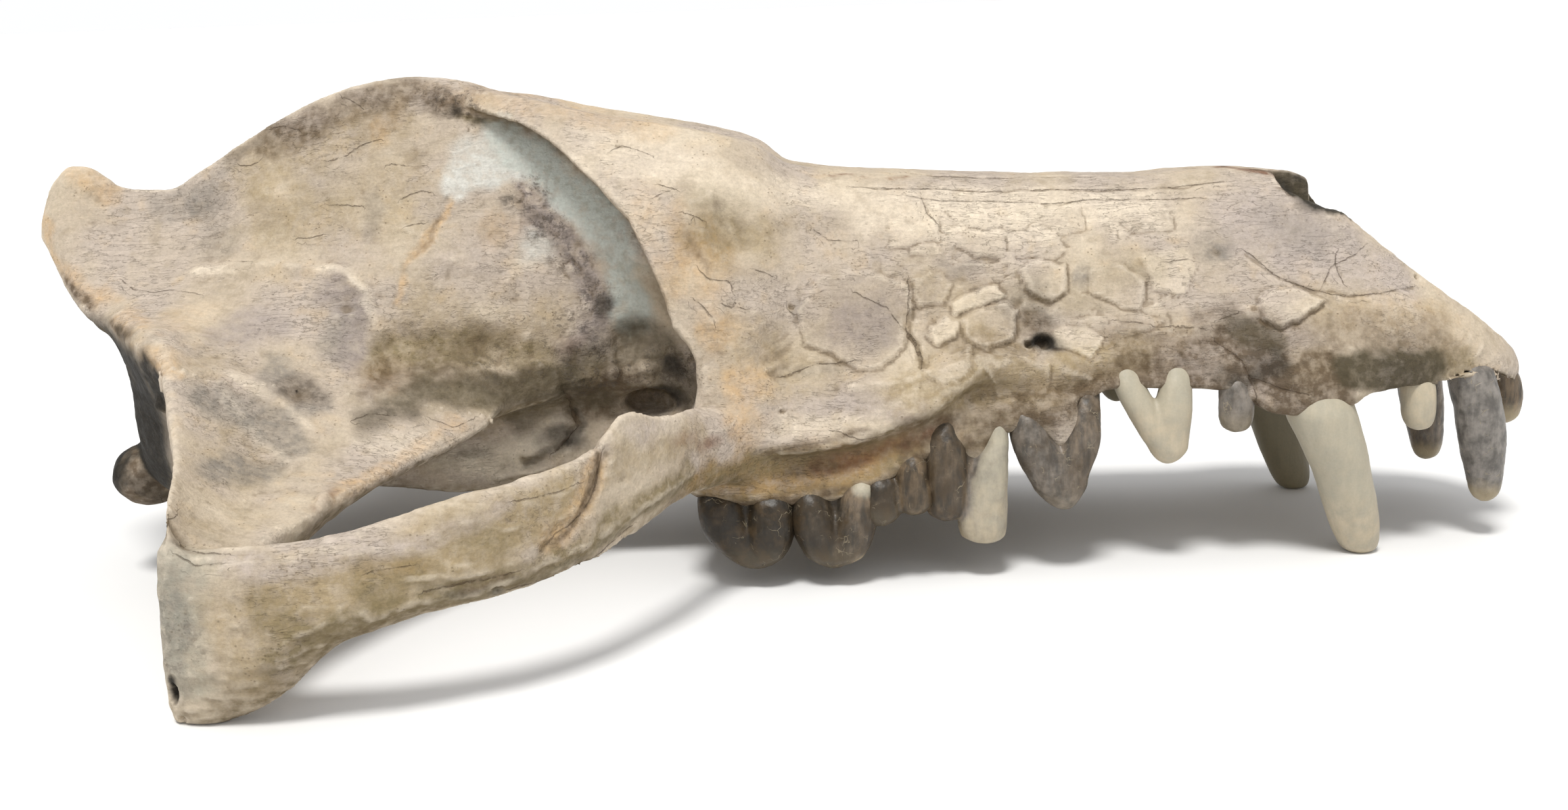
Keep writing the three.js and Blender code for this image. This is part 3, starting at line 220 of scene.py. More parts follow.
# Stains, and some painted shade where marked: colour, strength, centre (x, w, z) and radii along and up, in mm.
STAINS = [
    ("grey", 0.75, (-332, 10, 125), 15, 12),  # crest blue
    ("grey", 0.55, (-351, 5, 124), 17, 10),  # crest blue 2
    ("umber", 0.35, (-311, 7, 145), 23, 5),  # crest band 3
    ("ochre", 0.55, (-231, 16, 161), 6, 11),  # crest yellow
    ("ochre", 0.3, (-221, 13, 170), 5, 8),  # crest yellow 2
    ("umber", 0.85, (-191, 13, 178), 20, 10),  # rugose patch
    ("dark", 0.75, (-184, 15, 173), 7, 5),  # rugose patch dark
    ("dark", 0.6, (-170, 17, 168), 5, 4),  # rugose patch dark 2
    ("olive", 0.7, (-161, 17, 167), 19, 6),  # rugose edge
    ("ochre", 0.7, (-325, 121, 58), 12, 7),  # lambdoid orange 3
    ("grey", 0.4, (-320, 25, 104), 19, 15),  # wall grey 1
    ("grey", 0.45, (-233, 37, 117), 7, 15),  # wall grey 2
    ("olive", 0.25, (-284, 28, 116), 22, 17),  # wall olive
    ("olive", 0.3, (-257, 26, 130), 19, 15),  # wall olive 2
    ("lilac", 0.6, (-290, 81, 61), 29, 22),  # wall pink 1
    ("ochre", 0.22, (-321, 76, 68), 22, 15),  # wall pink 2
    ("lilac", 0.5, (-247, 47, 99), 22, 19),  # wall pink 3
    ("grey", 0.65, (-238, 72, 65), 15, 15),  # swirl grey
    ("grey", 0.7, (-242, 80, 54), 14, 15),  # swirl grey 2
    ("grey", 0.6, (-270, 139, 24), 12, 11),  # mastoid grey 2
    ("grey", 0.85, (-274, 182, 9), 16, 10),  # mastoid grey 3
    ("grey", 0.75, (-259, 174, 5), 9, 9),  # mastoid grey 4
    ("grey", 0.4, (-301, 141, 38), 20, 10),  # mastoid grey 5
    ("lilac", 0.5, (-286, 126, 38), 27, 14),  # mastoid lilac
    ("plaster", 0.65, (-139, 40, 97), 15, 9),  # plaster 9
    ("dark", 0.6, (-153, 32, 125), 5, 5),  # rough dark 1
    ("dark", 0.7, (-103, 45, 65), 10, 7),  # rough dark 2
    ("dark", 0.2, (-133, 35, 114), 8, 5),  # rough dark 3
    ("red", 0.5, (-119, 54, 47), 15, 8),  # rough red
    ("pale", 0.6, (-145, 42, 92), 11, 8),  # fossa pale 1
    ("pale", 0.5, (-167, 58, 67), 16, 5),  # fossa pale 2
    ("lilac", 0.5, (-181, 48, 93), 22, 19),  # fossa lilac
    ("ochre", 0.35, (-160, 38, 109), 15, 11),  # fossa ochre
    ("red", 0.35, (-215, 89, 37), 18, 11),  # olive zone 6
    # painted shade in the fossa under the bulge
    ("olive", 0.6, (-177, 85, 29), 29, 13),  # olive zone 7
    # painted shade: the hole in the orbit is painted black
    ("dark", 1, (-76, 44, 13), 15, 9),  # orbit dark 3
    ("umber", 0.75, (-97, 56, 28), 33, 18),  # orbit surround
    ("umber", 0.8, (-110, 45, 8), 23, 12),  # orbit surround 2
    ("olive", 0.8, (-136, 71, 27), 22, 13),  # orbit left
    ("pale", 1.1, (-173, 46, -23), 34, 12),  # pterygoid pale
    ("tan", 0.35, (-171, 45, -24), 23, 10),  # pterygoid gold
    ("pale", 0.8, (-152, 46, -14), 17, 8),  # pterygoid pale 2
    ("umber", 0.85, (282, 87, 26), 25, 11),  # canine flap
    ("purple", 0.35, (281, 43, 112), 40, 23),  # front deep
    ("purple", 0.35, (-290, 81, 61), 21, 17),  # wall pink deep
    ("dark", 0.7, (251, 80, 28), 9, 10),  # canine flap dark
    ("tan", 0.8, (285, 84, 40), 25, 15),  # canine flap tan
    ("purple", 0.45, (-290, 81, 61), 21, 17),  # wall lilac deep
    ("umber", 0.5, (-279, 7, 163), 26, 8),  # crest deep
    ("umber", 0.55, (-256, 113, 35), 15, 12),  # mastoid deep
    ("grey", 0.9, (-274, 180, 10), 16, 10),  # mastoid deep 2
    ("pale", 0.5, (338, 63, 65), 22, 13),  # front lilac 3
    # painted shade in the fossa under the bulge, the next two
    ("umber", 0.4, (-165, 66, 47), 22, 10),  # olive deep
    ("umber", 0.3, (-172, 72, 43), 29, 10),  # olive deep 2
    ("umber", 0.45, (267, 81, 39), 22, 11),  # front wall deep
    # painted shade under the front of the snout
    ("umber", 0.4, (339, 76, 33), 22, 7),  # front under deep
    ("grey", 0.7, (-271, 276, -34), 10, 24),  # slate deep 2
    ("tan", 0.8, (107, 83, 49), 29, 15),  # snout lower tan
    ("umber", 0.45, (110, 82, 49), 25, 10),  # snout lower umber
    ("gold", 0.45, (-174, 273, -11), 18, 7),  # arch gold
    ("tan", 0.4, (-255, 217, -6), 13, 8),  # glenoid tan
    ("tan", 0.5, (34, 100, 12), 28, 7),  # zygoma tan
    ("tan", 0.5, (338, 63, 65), 22, 11),  # front gold
    ("olive", 0.6, (-174, 273, -14), 26, 12),  # arch deep 1
    ("olive", 0.55, (-130, 255, -3), 21, 11),  # arch deep 2
    ("olive", 0.6, (-92, 219, -15), 19, 11),  # arch deep 3
    ("olive", 0.5, (-232, 280, -27), 20, 12),  # arch deep 4
    ("grey", 0.6, (-274, 276, -38), 9, 18),  # slate deep
    ("purple", 0.9, (39, 72, 63), 22, 21),  # oval purple
    ("purple", 0.35, (95, 58, 90), 15, 8),  # snout bloom
    ("umber", 0.8, (-101, 51, 21), 22, 12),  # orbit brown
    ("umber", 0.7, (-143, 73, 26), 22, 10),  # orbit brown 2
    ("olive", 0.35, (-156, 85, 18), 22, 11),  # pterygoid olive
    ("olive", 0.55, (-95, 44, 8), 19, 10),  # pterygoid olive 2
    ("dark", 0.7, (-129, 46, -9), 13, 8),  # pterygoid dark
    ("dark", 0.35, (-178, 47, -18), 11, 5),  # pterygoid dark 2
    # painted shade on the back of the skull, the next two
    ("dark", 1.1, (-336, 113, 42), 14, 21),  # occiput dark 1
    ("dark", 1.1, (-352, 78, 2), 13, 19),  # occiput dark 2
    ("umber", 0.9, (-365, 56, -33), 15, 10),  # condyle brown
    # painted shade on the condyle
    ("dark", 0.8, (-351, 76, -14), 10, 10),  # condyle dark
    ("pale", 0.7, (-84, 52, 154), 43, 19),  # frontal cream 1
    ("pale", 0.6, (-75, 78, 122), 21, 22),  # frontal cream 2
    ("ochre", 0.4, (-74, 78, 122), 14, 22),  # frontal ochre 1
    ("ochre", 0.35, (-74, -11, 166), 23, 8),  # frontal ochre 2
    ("ochre", 0.4, (-64, 89, 91), 11, 18),  # frontal ochre 3
    ("lilac", 0.5, (-70, 57, 148), 29, 11),  # frontal lilac
    ("lilac", 0.45, (-1, 18, 145), 22, 12),  # frontal lilac 2
    ("olive", 0.5, (-32, 72, 119), 27, 22),  # preorbital olive 1
    ("gold", 0.75, (-38, 81, 108), 21, 18),  # preorbital olive 2
    ("tan", 0.6, (-16, 69, 110), 21, 15),  # preorbital olive 3
    ("umber", 0.5, (-32, 66, 128), 4, 5),  # preorbital brown
    ("umber", 0.5, (-48, 86, 103), 4, 5),  # preorbital brown 2
    ("ochre", 0.3, (-47, 91, 89), 18, 15),  # preorbital ochre
    ("ochre", 0.5, (-32, 96, 64), 14, 11),  # preorbital ochre 2
    ("pale", 0.9, (-34, 77, 28), 11, 13),  # orbit rim lilac
    ("pale", 0.6, (-58, 154, 28), 20, 8),  # orbit rim lilac 2
    ("umber", 0.6, (-4, 91, 39), 6, 6),  # suborbital brown
    ("ochre", 0.6, (-16, 97, 42), 18, 15),  # suborbital brown 2
    ("grey", 0.55, (5, 74, 72), 7, 6),  # suborbital grey
    ("grey", 0.45, (21, 84, 40), 21, 5),  # suborbital grey 2
    ("ochre", 0.35, (-22, 108, 17), 11, 22),  # cheek ochre
    ("lilac", 0.8, (38, 96, 19), 43, 11),  # zygoma lilac 1
    ("pale", 0.7, (27, 100, 10), 43, 7),  # zygoma pale 1
    ("lilac", 0.8, (38, 72, 64), 27, 25),  # oval lilac
    ("tan", 0.55, (38, 73, 62), 25, 22),  # oval tan
    ("grey", 0.4, (49, 73, 59), 14, 15),  # oval grey
    ("lilac", 0.4, (21, 47, 118), 37, 15),  # snout lilac
    ("olive", 0.3, (13, 48, 118), 29, 11),  # snout olive
    ("pale", 0.55, (113, 45, 110), 59, 15),  # snout pale
    ("pale", 0.5, (187, 39, 117), 48, 11),  # snout pale 2
    ("tan", 0.4, (93, 65, 77), 43, 22),  # snout ochre
    ("grey", 0.65, (133, 64, 73), 18, 15),  # snout grey 1
    ("grey", 0.7, (163, 56, 87), 7, 6),  # snout grey 2
    ("grey", 0.5, (95, 57, 91), 11, 6),  # snout grey 3
    ("grey", 0.55, (144, 65, 68), 11, 7),  # snout grey 4
    # painted shade: the infraorbital hole is painted black
    ("dark", 1.1, (142, 72, 54), 11, 6),  # infraorbital dark
    ("umber", 0.8, (137, 68, 62), 16, 10),  # infraorbital brown
    ("olive", 0.4, (192, 55, 89), 26, 11),  # snout brown 1
    ("olive", 0.35, (155, 62, 76), 22, 9),  # snout brown 2
    ("tan", 0.8, (132, 83, 25), 47, 13),  # snout low ochre
    ("olive", 0.7, (121, 89, 8), 25, 11),  # premolar wall olive
    ("umber", 0.5, (140, 85, 12), 22, 9),  # premolar wall umber
    ("gold", 0.9, (-19, 103, -23), 29, 13),  # molar wall gold 1
    ("gold", 0.8, (31, 100, -23), 29, 13),  # molar wall gold 2
    ("olive", 0.8, (68, 96, -12), 21, 11),  # molar wall olive
    ("umber", 0.55, (13, 98, -18), 21, 9),  # molar wall umber
    ("umber", 0.5, (-32, 96, -33), 18, 8),  # molar wall umber 2
    # painted shade on the snout's lower half
    ("umber", 0.45, (162, 81, 25), 29, 7),  # snout low brown
    ("olive", 0.7, (-36, 126, -8), 21, 9),  # wall olive 2
    ("umber", 0.6, (81, 92, 13), 29, 9),  # wall umber 1
    ("umber", 0.55, (124, 87, 15), 22, 7),  # wall umber 2
    ("umber", 0.5, (21, 101, -29), 29, 7),  # wall umber 3
    ("grey", 0.95, (240, 51, 99), 9, 7),  # smudge 1
    ("grey", 0.5, (235, 48, 104), 15, 10),  # smudge 2
    ("lilac", 0.8, (281, 42, 114), 44, 23),  # front lilac 1
    ("grey", 0.35, (292, 44, 110), 29, 15),  # front grey
    ("lilac", 0.7, (324, 52, 89), 29, 15),  # front lilac 2
    ("pale", 0.6, (282, 67, 73), 14, 8),  # front pale
    ("ochre", 0.1, (338, 63, 65), 29, 13),  # front ochre
    ("dark", 0.7, (264, 80, 41), 16, 10),  # front dark
    ("olive", 0.8, (374, 58, 40), 18, 9),  # front olive 3
    ("umber", 0.45, (216, 77, 41), 36, 13),  # front low 1
    ("gold", 0.7, (49, 94, -6), 22, 8),  # wall gold 3
    ("gold", 0.6, (85, 93, 2), 21, 7),  # wall gold 4
    ("umber", 0.6, (183, 78, 28), 22, 10),  # front low 2
    ("dark", 0.35, (241, 79, 32), 18, 6),  # front low 3
    # painted shade inside the broken nose
    ("dark", 0.8, (302, 33, 125), 15, 6),  # nares dark 1
    ("red", 0.8, (292, 20, 135), 6, 4),  # nares red 2
    ("lilac", 0.8, (-232, 276, -8), 26, 4),  # arch lilac 1
    ("lilac", 0.8, (-186, 271, 0), 32, 5),  # arch lilac 2
    ("tan", 0.5, (-141, 257, 14), 33, 6),  # arch lilac 3
    ("lilac", 0.7, (-92, 212, 25), 19, 10),  # arch lilac 4
    ("lilac", 0.6, (-66, 173, 28), 20, 10),  # arch lilac 5
    ("tan", 0.5, (-209, 279, -21), 44, 15),  # arch ochre 1
    ("tan", 0.5, (-135, 258, -6), 39, 12),  # arch ochre 2
    ("olive", 0.4, (-203, 279, -37), 38, 12),  # arch olive 1
    ("olive", 0.5, (-220, 278, -52), 30, 9),  # arch olive 2
    ("olive", 0.45, (-164, 271, -21), 35, 8),  # arch olive 3
    ("dark", 0.6, (-132, 253, -28), 4, 3),  # arch dark
    ("dark", 0.4, (-147, 263, -24), 12, 2),  # arch dark 2
    ("pale", 0.4, (-86, 210, -12), 19, 8),  # arch pale low
    ("red", 0.6, (-37, 127, 10), 10, 4),  # arch red
    ("red", 0.4, (-51, 147, 17), 10, 5),  # arch red 2
    # painted shade: the postglenoid hole is painted black
    ("dark", 0.95, (-278, 272, -73), 3, 7),  # post dark
    ("pale", 0.2, (-255, 217, -6), 28, 13),  # glenoid pale
    ("tan", 0.45, (-272, 240, -2), 18, 8),  # glenoid ochre
    ("red", 0.6, (-227, 192, -3), 6, 5),  # glenoid red
    ("umber", 0.55, (-229, 197, -16), 8, 10),  # glenoid brown
    ("pale", 0.6, (-196, 136, 9), 31, 9),  # root pale
    ("ochre", 0.4, (-210, 168, -5), 20, 7),  # root ochre
    ("lilac", 0.35, (-218, 123, 20), 31, 11),  # root lilac
]
# Stains that run along a path, and some painted shade where marked: colour, strength, half width in mm, points (x, w,
# z).
STAIN_BANDS = [
    ("plaster", 1.15, 10.0, [(-185, 29, 134), (-170, 26, 141), (-151, 26, 146)]),  # plaster white
    ("plaster", 0.7, 8.2, [(-183, 23, 149), (-161, 20, 158)]),  # plaster fade
    ("cast", 1.2, 12.6, [(-157, 19, 160), (-139, 24, 152), (-123, 31, 136), (-107, 38, 121), (-95, 44, 106), (-88, 47, 89), (-84, 45, 73), (-83, 45, 62)]),  # plaster strip
    ("plaster", 0.75, 4.8, [(-123, 34, 122), (-114, 37, 111), (-108, 39, 102)]),  # plaster strip pale
    ("plaster", 0.55, 4.4, [(-87, 45, 77), (-84, 45, 66)]),  # plaster strip low
    # a dark olive rim along the temporal ridge, partly its colour and partly painted shadow under the ridge's overhang
    ("olive", 1.1, 2.6, [(-184, 16, 171), (-168, 17, 168), (-150, 19, 162), (-133, 25, 149), (-116, 33, 131), (-102, 40, 117), (-93, 46, 102), (-85, 47, 86), (-77, 46, 69)]),  # ridge olive
    ("umber", 0.7, 9.8, [(-299, 8, 151), (-279, 9, 160), (-260, 7, 171), (-237, 7, 180), (-214, 6, 185)]),  # crest shade
    ("grey", 0.5, 3.8, [(-338, 6, 130), (-323, 6, 139), (-299, 7, 153)]),  # crest rim shade
    ("purple", 0.95, 11.1, [(-145, 27, 141), (-136, 32, 127), (-133, 35, 111), (-121, 38, 97), (-112, 41, 84), (-103, 44, 68), (-108, 49, 54), (-120, 58, 42)]),  # rough strip
    ("umber", 0.35, 4.4, [(-150, 32, 127), (-141, 34, 117), (-132, 36, 109), (-123, 40, 92), (-109, 43, 76), (-103, 45, 62)]),  # rough strip dark
    # painted shade: the next four bands darken the fossa under the braincase's bulge and around the orbit
    ("olive", 0.95, 12.4, [(-216, 82, 45), (-196, 74, 49), (-172, 68, 47), (-148, 63, 44), (-126, 62, 38), (-108, 59, 34)]),  # fossa olive
    ("umber", 0.6, 7.2, [(-223, 101, 32), (-204, 89, 35), (-181, 80, 36), (-157, 75, 32), (-129, 67, 32)]),  # fossa brown
    ("moss", 0.65, 12.6, [(-119, 60, 38), (-97, 50, 44), (-78, 46, 49), (-64, 47, 37), (-61, 46, 20)]),  # fossa deep
    ("moss", 0.75, 10.7, [(-218, 123, 20), (-197, 95, 28), (-170, 83, 28), (-143, 72, 28), (-121, 66, 29)]),  # fossa deep back
    # painted shade: the hole in the orbit is painted black
    ("dark", 0.8, 5.7, [(-61, 46, 32), (-60, 19, 14), (-62, 43, 11), (-78, 44, 11)]),  # orbit black
    ("ochre", 0.8, 2.6, [(-188, 33, 126), (-193, 37, 117), (-197, 42, 109), (-203, 49, 98), (-209, 53, 93), (-213, 57, 87), (-214, 62, 79), (-215, 66, 71)]),  # vein ochre
    ("umber", 0.5, 1.3, [(-196, 39, 114), (-198, 44, 104), (-203, 49, 98), (-209, 53, 93), (-213, 56, 88)]),  # vein brown
    ("ochre", 0.6, 5.1, [(-429, 5, 112), (-418, 21, 90), (-392, 48, 74), (-365, 78, 65), (-331, 119, 58), (-316, 136, 47)]),  # nape rim
    ("ochre", 0.5, 4.6, [(-383, 50, 74), (-354, 80, 68), (-326, 115, 61)]),  # nape rim orange
    ("umber", 0.95, 2.9, [(-409, 31, 80), (-392, 50, 71), (-371, 72, 64), (-348, 100, 62)]),  # nape under
    ("ochre", 0.6, 6.8, [(-408, 4, 139), (-395, 6, 132), (-389, 7, 125)]),  # nape tip
    ("grey", 0.8, 8.8, [(-301, 141, 38), (-285, 140, 31), (-268, 144, 21), (-252, 156, 11)]),  # mastoid grey strip
    ("pale", 0.65, 2.4, [(-316, 134, 50), (-307, 122, 47), (-294, 116, 44), (-280, 122, 38), (-268, 127, 31), (-257, 134, 24), (-250, 140, 19)]),  # mastoid pale rim
    ("pale", 0.6, 2.7, [(-291, 133, 36), (-277, 143, 25), (-267, 151, 17), (-256, 162, 9)]),  # mastoid pale rim low
    ("pale", 0.85, 2.6, [(-331, 40, 87), (-292, 45, 90), (-252, 55, 89), (-240, 59, 85), (-232, 64, 77), (-224, 72, 62)]),  # suture pale rim
    ("umber", 0.3, 1.1, [(-311, 39, 92), (-284, 45, 92), (-253, 52, 92), (-241, 55, 89)]),  # suture line
    ("purple", 0.75, 10.1, [(-248, 62, 80), (-236, 71, 67), (-232, 82, 50)]),  # temple grey
    ("grey", 0.85, 10.4, [(-271, 104, 44), (-258, 114, 35), (-252, 120, 30)]),  # temple grey low
    ("tan", 0.35, 2.8, [(-250, 274, -7), (-224, 274, -5), (-198, 272, -1), (-168, 268, 4), (-141, 259, 9), (-119, 242, 17), (-130, 45, -22)]),  # arch rim pale
    ("lilac", 0.6, 4.7, [(-246, 277, -13), (-211, 276, -9), (-180, 272, -4), (-151, 264, 3), (-124, 248, 11)]),  # arch rim lilac
    # painted shade on the lower facet of the cheek arch
    ("olive", 1, 9.2, [(-225, 281, -45), (-198, 277, -37), (-175, 272, -31), (-148, 262, -27), (-119, 246, -23), (-98, 226, -16), (-75, 193, -11), (-51, 150, -5)]),  # arch low olive
    ("slate", 0.35, 3.8, [(-148, 262, -28), (-120, 245, -25), (-98, 226, -21), (-76, 191, -17), (-55, 157, -8)]),  # arch facet slate
    ("umber", 0.95, 2.2, [(-88, 211, 20), (-90, 215, 9), (-94, 222, 2), (-101, 231, -4), (-106, 237, -9)]),  # arch brown crease
    ("ochre", 0.75, 6.2, [(-90, 214, 16), (-97, 226, 0), (-106, 237, -8)]),  # arch brown crease wide
    ("umber", 0.7, 1.5, [(-161, 269, -26), (-147, 263, -24), (-135, 257, -22), (-122, 248, -21)]),  # arch dark line
    ("grey", 0.5, 8.9, [(-274, 269, -3), (-274, 275, -22), (-275, 276, -47), (-275, 274, -73)]),  # back slate
    ("slate", 0.6, 17.7, [(-269, 275, -16), (-270, 277, -40), (-268, 276, -66)]),  # back slate wide
    # painted shade: the postglenoid pit is painted black
    ("dark", 1, 2.7, [(-278, 273, -67), (-279, 270, -79)]),  # back pit
    ("umber", 0.4, 1.5, [(-283, 249, 5), (-276, 265, -1), (-266, 269, -5), (-250, 273, -5)]),  # glenoid edge
    ("ochre", 0.5, 4.7, [(-224, 190, -4), (-209, 167, 0), (-195, 140, 6), (-177, 108, 15)]),  # glenoid slope ochre
    ("cast", 0.15, 15.1, [(-190, 46, -26), (-171, 45, -24), (-148, 46, -18), (-129, 46, -3)]),  # pterygoid cream
    ("moss", 0.6, 9.0, [(-155, 48, 2), (-128, 52, 15), (-102, 47, 17)]),  # pterygoid moss
    ("dark", 0.45, 2.6, [(-148, 45, -24), (-134, 45, -18), (-125, 46, -10), (-118, 45, -1), (-122, 45, 9)]),  # pterygoid crease
    ("lilac", 0.6, 6.9, [(-75, 186, 32), (-58, 152, 28), (-41, 84, 21), (-34, 65, 29)]),  # orbit floor rim
    ("ochre", 0.4, 7.0, [(-54, 76, 122), (-51, 85, 105), (-49, 91, 89), (-44, 96, 71), (-37, 98, 58)]),  # lacrimal ochre
    ("umber", 0.4, 1.8, [(-50, 76, 121), (-47, 85, 105), (-45, 90, 92)]),  # lacrimal line
    ("ochre", 0.45, 6.3, [(-26, 100, 43), (-23, 104, 26), (-24, 113, 10)]),  # cheek yellow
    ("pale", 0.4, 3.6, [(-8, 106, 5), (16, 101, 8), (42, 99, 14), (66, 96, 26), (95, 91, 41), (117, 83, 47)]),  # cheek rim pale
    ("pale", 0.8, 12.5, [(50, 43, 118), (94, 43, 114), (135, 41, 115), (179, 39, 117)]),  # snout top pale
    ("pale", 0.7, 9.5, [(-69, 61, 144), (-16, 54, 133), (39, 36, 128), (113, 34, 124), (205, 34, 124)]),  # snout top cream
    ("red", 0.75, 1.1, [(22, 18, 140), (51, 17, 138), (85, 14, 138)]),  # nasal brown line
    ("red", 0.75, 1.1, [(115, 12, 138), (138, 15, 137), (160, 14, 137)]),  # nasal brown line b
    ("red", 1.1, 3.4, [(250, 1, 141), (266, 9, 141), (282, 13, 139)]),  # nasal edge red
    ("umber", 1, 1.9, [(251, 1, 141), (260, 10, 141), (273, 6, 140), (281, 13, 139), (291, 1, 139)]),  # nasal broken edge
    ("lilac", 0.8, 18.3, [(260, 40, 117), (288, 48, 104), (318, 51, 93), (340, 51, 82)]),  # front lilac band
    ("grey", 0.35, 12.5, [(275, 40, 117), (292, 46, 107)]),  # front grey band
    # painted shade under the front of the snout, the next two
    ("umber", 0.5, 12.3, [(184, 72, 53), (219, 73, 53), (249, 69, 59), (276, 73, 58), (313, 74, 55), (340, 69, 53), (369, 58, 48)]),  # front under olive
    ("moss", 1.1, 9.4, [(304, 83, 39), (330, 78, 38), (361, 64, 39)]),  # front under moss
    ("umber", 1.2, 15.1, [(248, 77, 46), (265, 81, 39), (280, 85, 34), (292, 86, 37)]),  # canine root brown
    ("moss", 0.7, 8.7, [(252, 69, 58), (266, 74, 53)]),  # canine root dark
    ("umber", 1, 5.4, [(255, 79, 21), (266, 82, 16), (280, 87, 17), (293, 88, 22), (307, 86, 27)]),  # canine socket
    ("ochre", 0.12, 9.5, [(315, 66, 69), (345, 60, 65), (383, 49, 55)]),  # front lip ochre
    # painted shade on the snout's lower half, the next two
    ("umber", 0.55, 11.5, [(132, 83, 25), (162, 79, 28), (190, 77, 35), (219, 77, 43), (237, 77, 44)]),  # snout low brown
    ("umber", 1, 5.8, [(143, 85, 14), (167, 80, 26), (189, 77, 28), (219, 78, 30), (238, 78, 27)]),  # snout low dark
    ("gold", 1, 15.6, [(-42, 132, -12), (-5, 100, -18), (27, 96, -15), (56, 96, -11)]),  # wall gold
    ("gold", 0.85, 10.8, [(-41, 96, -31), (-11, 101, -31), (21, 100, -31), (49, 98, -22), (73, 94, -11)]),  # wall gold low
    ("olive", 0.55, 7.9, [(-32, 96, -33), (1, 99, -33), (38, 99, -28), (64, 96, -14), (88, 92, -5)]),  # wall olive low
    ("red", 0.9, 7.9, [(16, 96, -14), (38, 94, -8), (64, 92, 1), (85, 90, 8)]),  # wall red
    ("umber", 0.8, 2.8, [(-11, 106, -4), (13, 103, -1), (42, 101, 6), (70, 98, 14), (92, 89, 15)]),  # wall red edge
    ("olive", 0.8, 8.5, [(-39, 125, -16), (-16, 107, -8), (10, 96, -8)]),  # wall olive
    ("umber", 0.75, 7.9, [(67, 96, -8), (92, 93, 2), (124, 88, 12), (143, 85, 14)]),  # wall umber
    ("umber", 0.9, 3.2, [(-47, 93, -30), (-17, 99, -33), (15, 100, -32), (49, 97, -24), (71, 95, -11), (93, 92, -3)]),  # socket shade
    ("ochre", 0.35, 9.6, [(-184, 13, 181), (-144, 27, 179), (-108, 28, 173), (-71, 38, 164)]),  # crest warm
    ("umber", 0.3, 8.2, [(-236, 15, 162), (-221, 12, 173), (-207, 9, 181)]),  # crest smoke
    ("tan", 1, 15.5, [(-226, 280, -27), (-197, 278, -19), (-168, 272, -11), (-141, 261, -5), (-119, 246, 3), (-102, 230, 11)]),  # arch tan
    ("tan", 0.6, 11.8, [(-253, 279, -30), (-245, 281, -45), (-241, 279, -65)]),  # arch tan root
    ("tan", 0.5, 9.8, [(-92, 214, 23), (-69, 181, 17), (-46, 137, 16)]),  # arch tan front
    ("tan", 0.6, 15.0, [(-305, 13, 137), (-279, 13, 150), (-247, 13, 161), (-221, 15, 167)]),  # crest tan
    ("tan", 0.45, 22.2, [(-288, 27, 116), (-249, 35, 117), (-219, 33, 127)]),  # wall tan
    ("tan", 0.35, 16.8, [(-299, 115, 46), (-281, 146, 26), (-271, 182, 7)]),  # mastoid tan
    ("tan", 1, 12.9, [(66, 94, 28), (102, 88, 30), (132, 83, 34), (168, 78, 43), (190, 75, 49)]),  # snout low tan
    ("tan", 0.45, 17.8, [(-26, 96, 57), (-5, 91, 41), (24, 86, 37)]),  # cheek tan
    ("tan", 0.5, 18.2, [(-201, 65, 69), (-180, 65, 58), (-159, 60, 57), (-137, 55, 56)]),  # fossa tan
    ("tan", 0.45, 14.6, [(292, 68, 70), (329, 67, 63), (369, 56, 53)]),  # front tan
]
# Broken plates that stand off the side of the snout: height and lean (front, up), corners (x, z) in mm.
PLATES = {
    "cheek plate": (1.5, (0.01, 0), [(17, 88), (33, 90), (51, 87), (65, 83), (69, 70), (65, 52), (53, 41), (41, 41), (27, 48), (13, 54), (8, 71)]),
    "plate a": (1.2, (-0.03, 0.02), [(70, 85), (81, 88), (92, 81), (87, 72), (74, 71), (71, 77)]),
    "strip b": (2, (0.0, 0.05), [(93, 72), (116, 83), (120, 76), (104, 69), (95, 67)]),
    "chip c": (1.7, (0.02, 0), [(80, 61), (89, 66), (97, 63), (95, 57), (83, 53), (79, 57)]),
    "slab d": (2, (0.03, -0.02), [(99, 64), (118, 73), (128, 69), (126, 56), (113, 50), (103, 53)]),
    "slab e": (1.1, (0.0, 0.03), [(80, 46), (102, 50), (101, 42), (87, 36), (78, 38)]),
    "slab f": (2.2, (0.02, 0.03), [(130, 89), (143, 95), (155, 92), (156, 79), (147, 74), (134, 81)]),
    "top g": (0.45, (0.0, 0.03), [(91, 120), (107, 123), (120, 120), (123, 115), (112, 113), (96, 115)]),
    "top h": (0.7, (-0.02, 0.04), [(122, 122), (143, 124), (146, 120), (135, 114), (125, 114)]),
    "top i": (0.5, (0.03, 0.02), [(152, 122), (165, 122), (166, 113), (155, 111), (146, 115)]),
    "mid j": (0.8, (0.0, -0.04), [(98, 110), (122, 109), (123, 99), (109, 98), (98, 103)]),
    "mid k": (0.6, (0.02, 0.02), [(129, 107), (151, 109), (155, 101), (149, 96), (131, 98)]),
    "top m": (0.5, (0.0, 0.04), [(191, 121), (215, 121), (215, 112), (197, 110), (190, 114)]),
    "mid o": (1.2, (0.03, 0.02), [(170, 90), (188, 91), (199, 84), (197, 70), (188, 72), (172, 79)]),
    "mid p": (0.5, (-0.02, 0), [(200, 98), (220, 101), (227, 92), (221, 79), (205, 81)]),
    "flake": (2.8, (0.02, 0.02), [(264, 74), (272, 79), (282, 79), (297, 73), (286, 67), (273, 62), (265, 64)]),
    "low r": (1, (0.0, 0.04), [(149, 59), (165, 61), (175, 56), (169, 47), (152, 50)]),
    "left s": (0.6, (0.02, 0), [(59, 118), (71, 113), (84, 116), (86, 107), (70, 103), (59, 104)]),
    "low v": (0.6, (0.0, 0.03), [(110, 40), (132, 44), (146, 41), (143, 28), (118, 26)]),
    "low w": (0.6, (0.02, 0.02), [(180, 66), (199, 67), (210, 63), (201, 57), (184, 57)]),
}
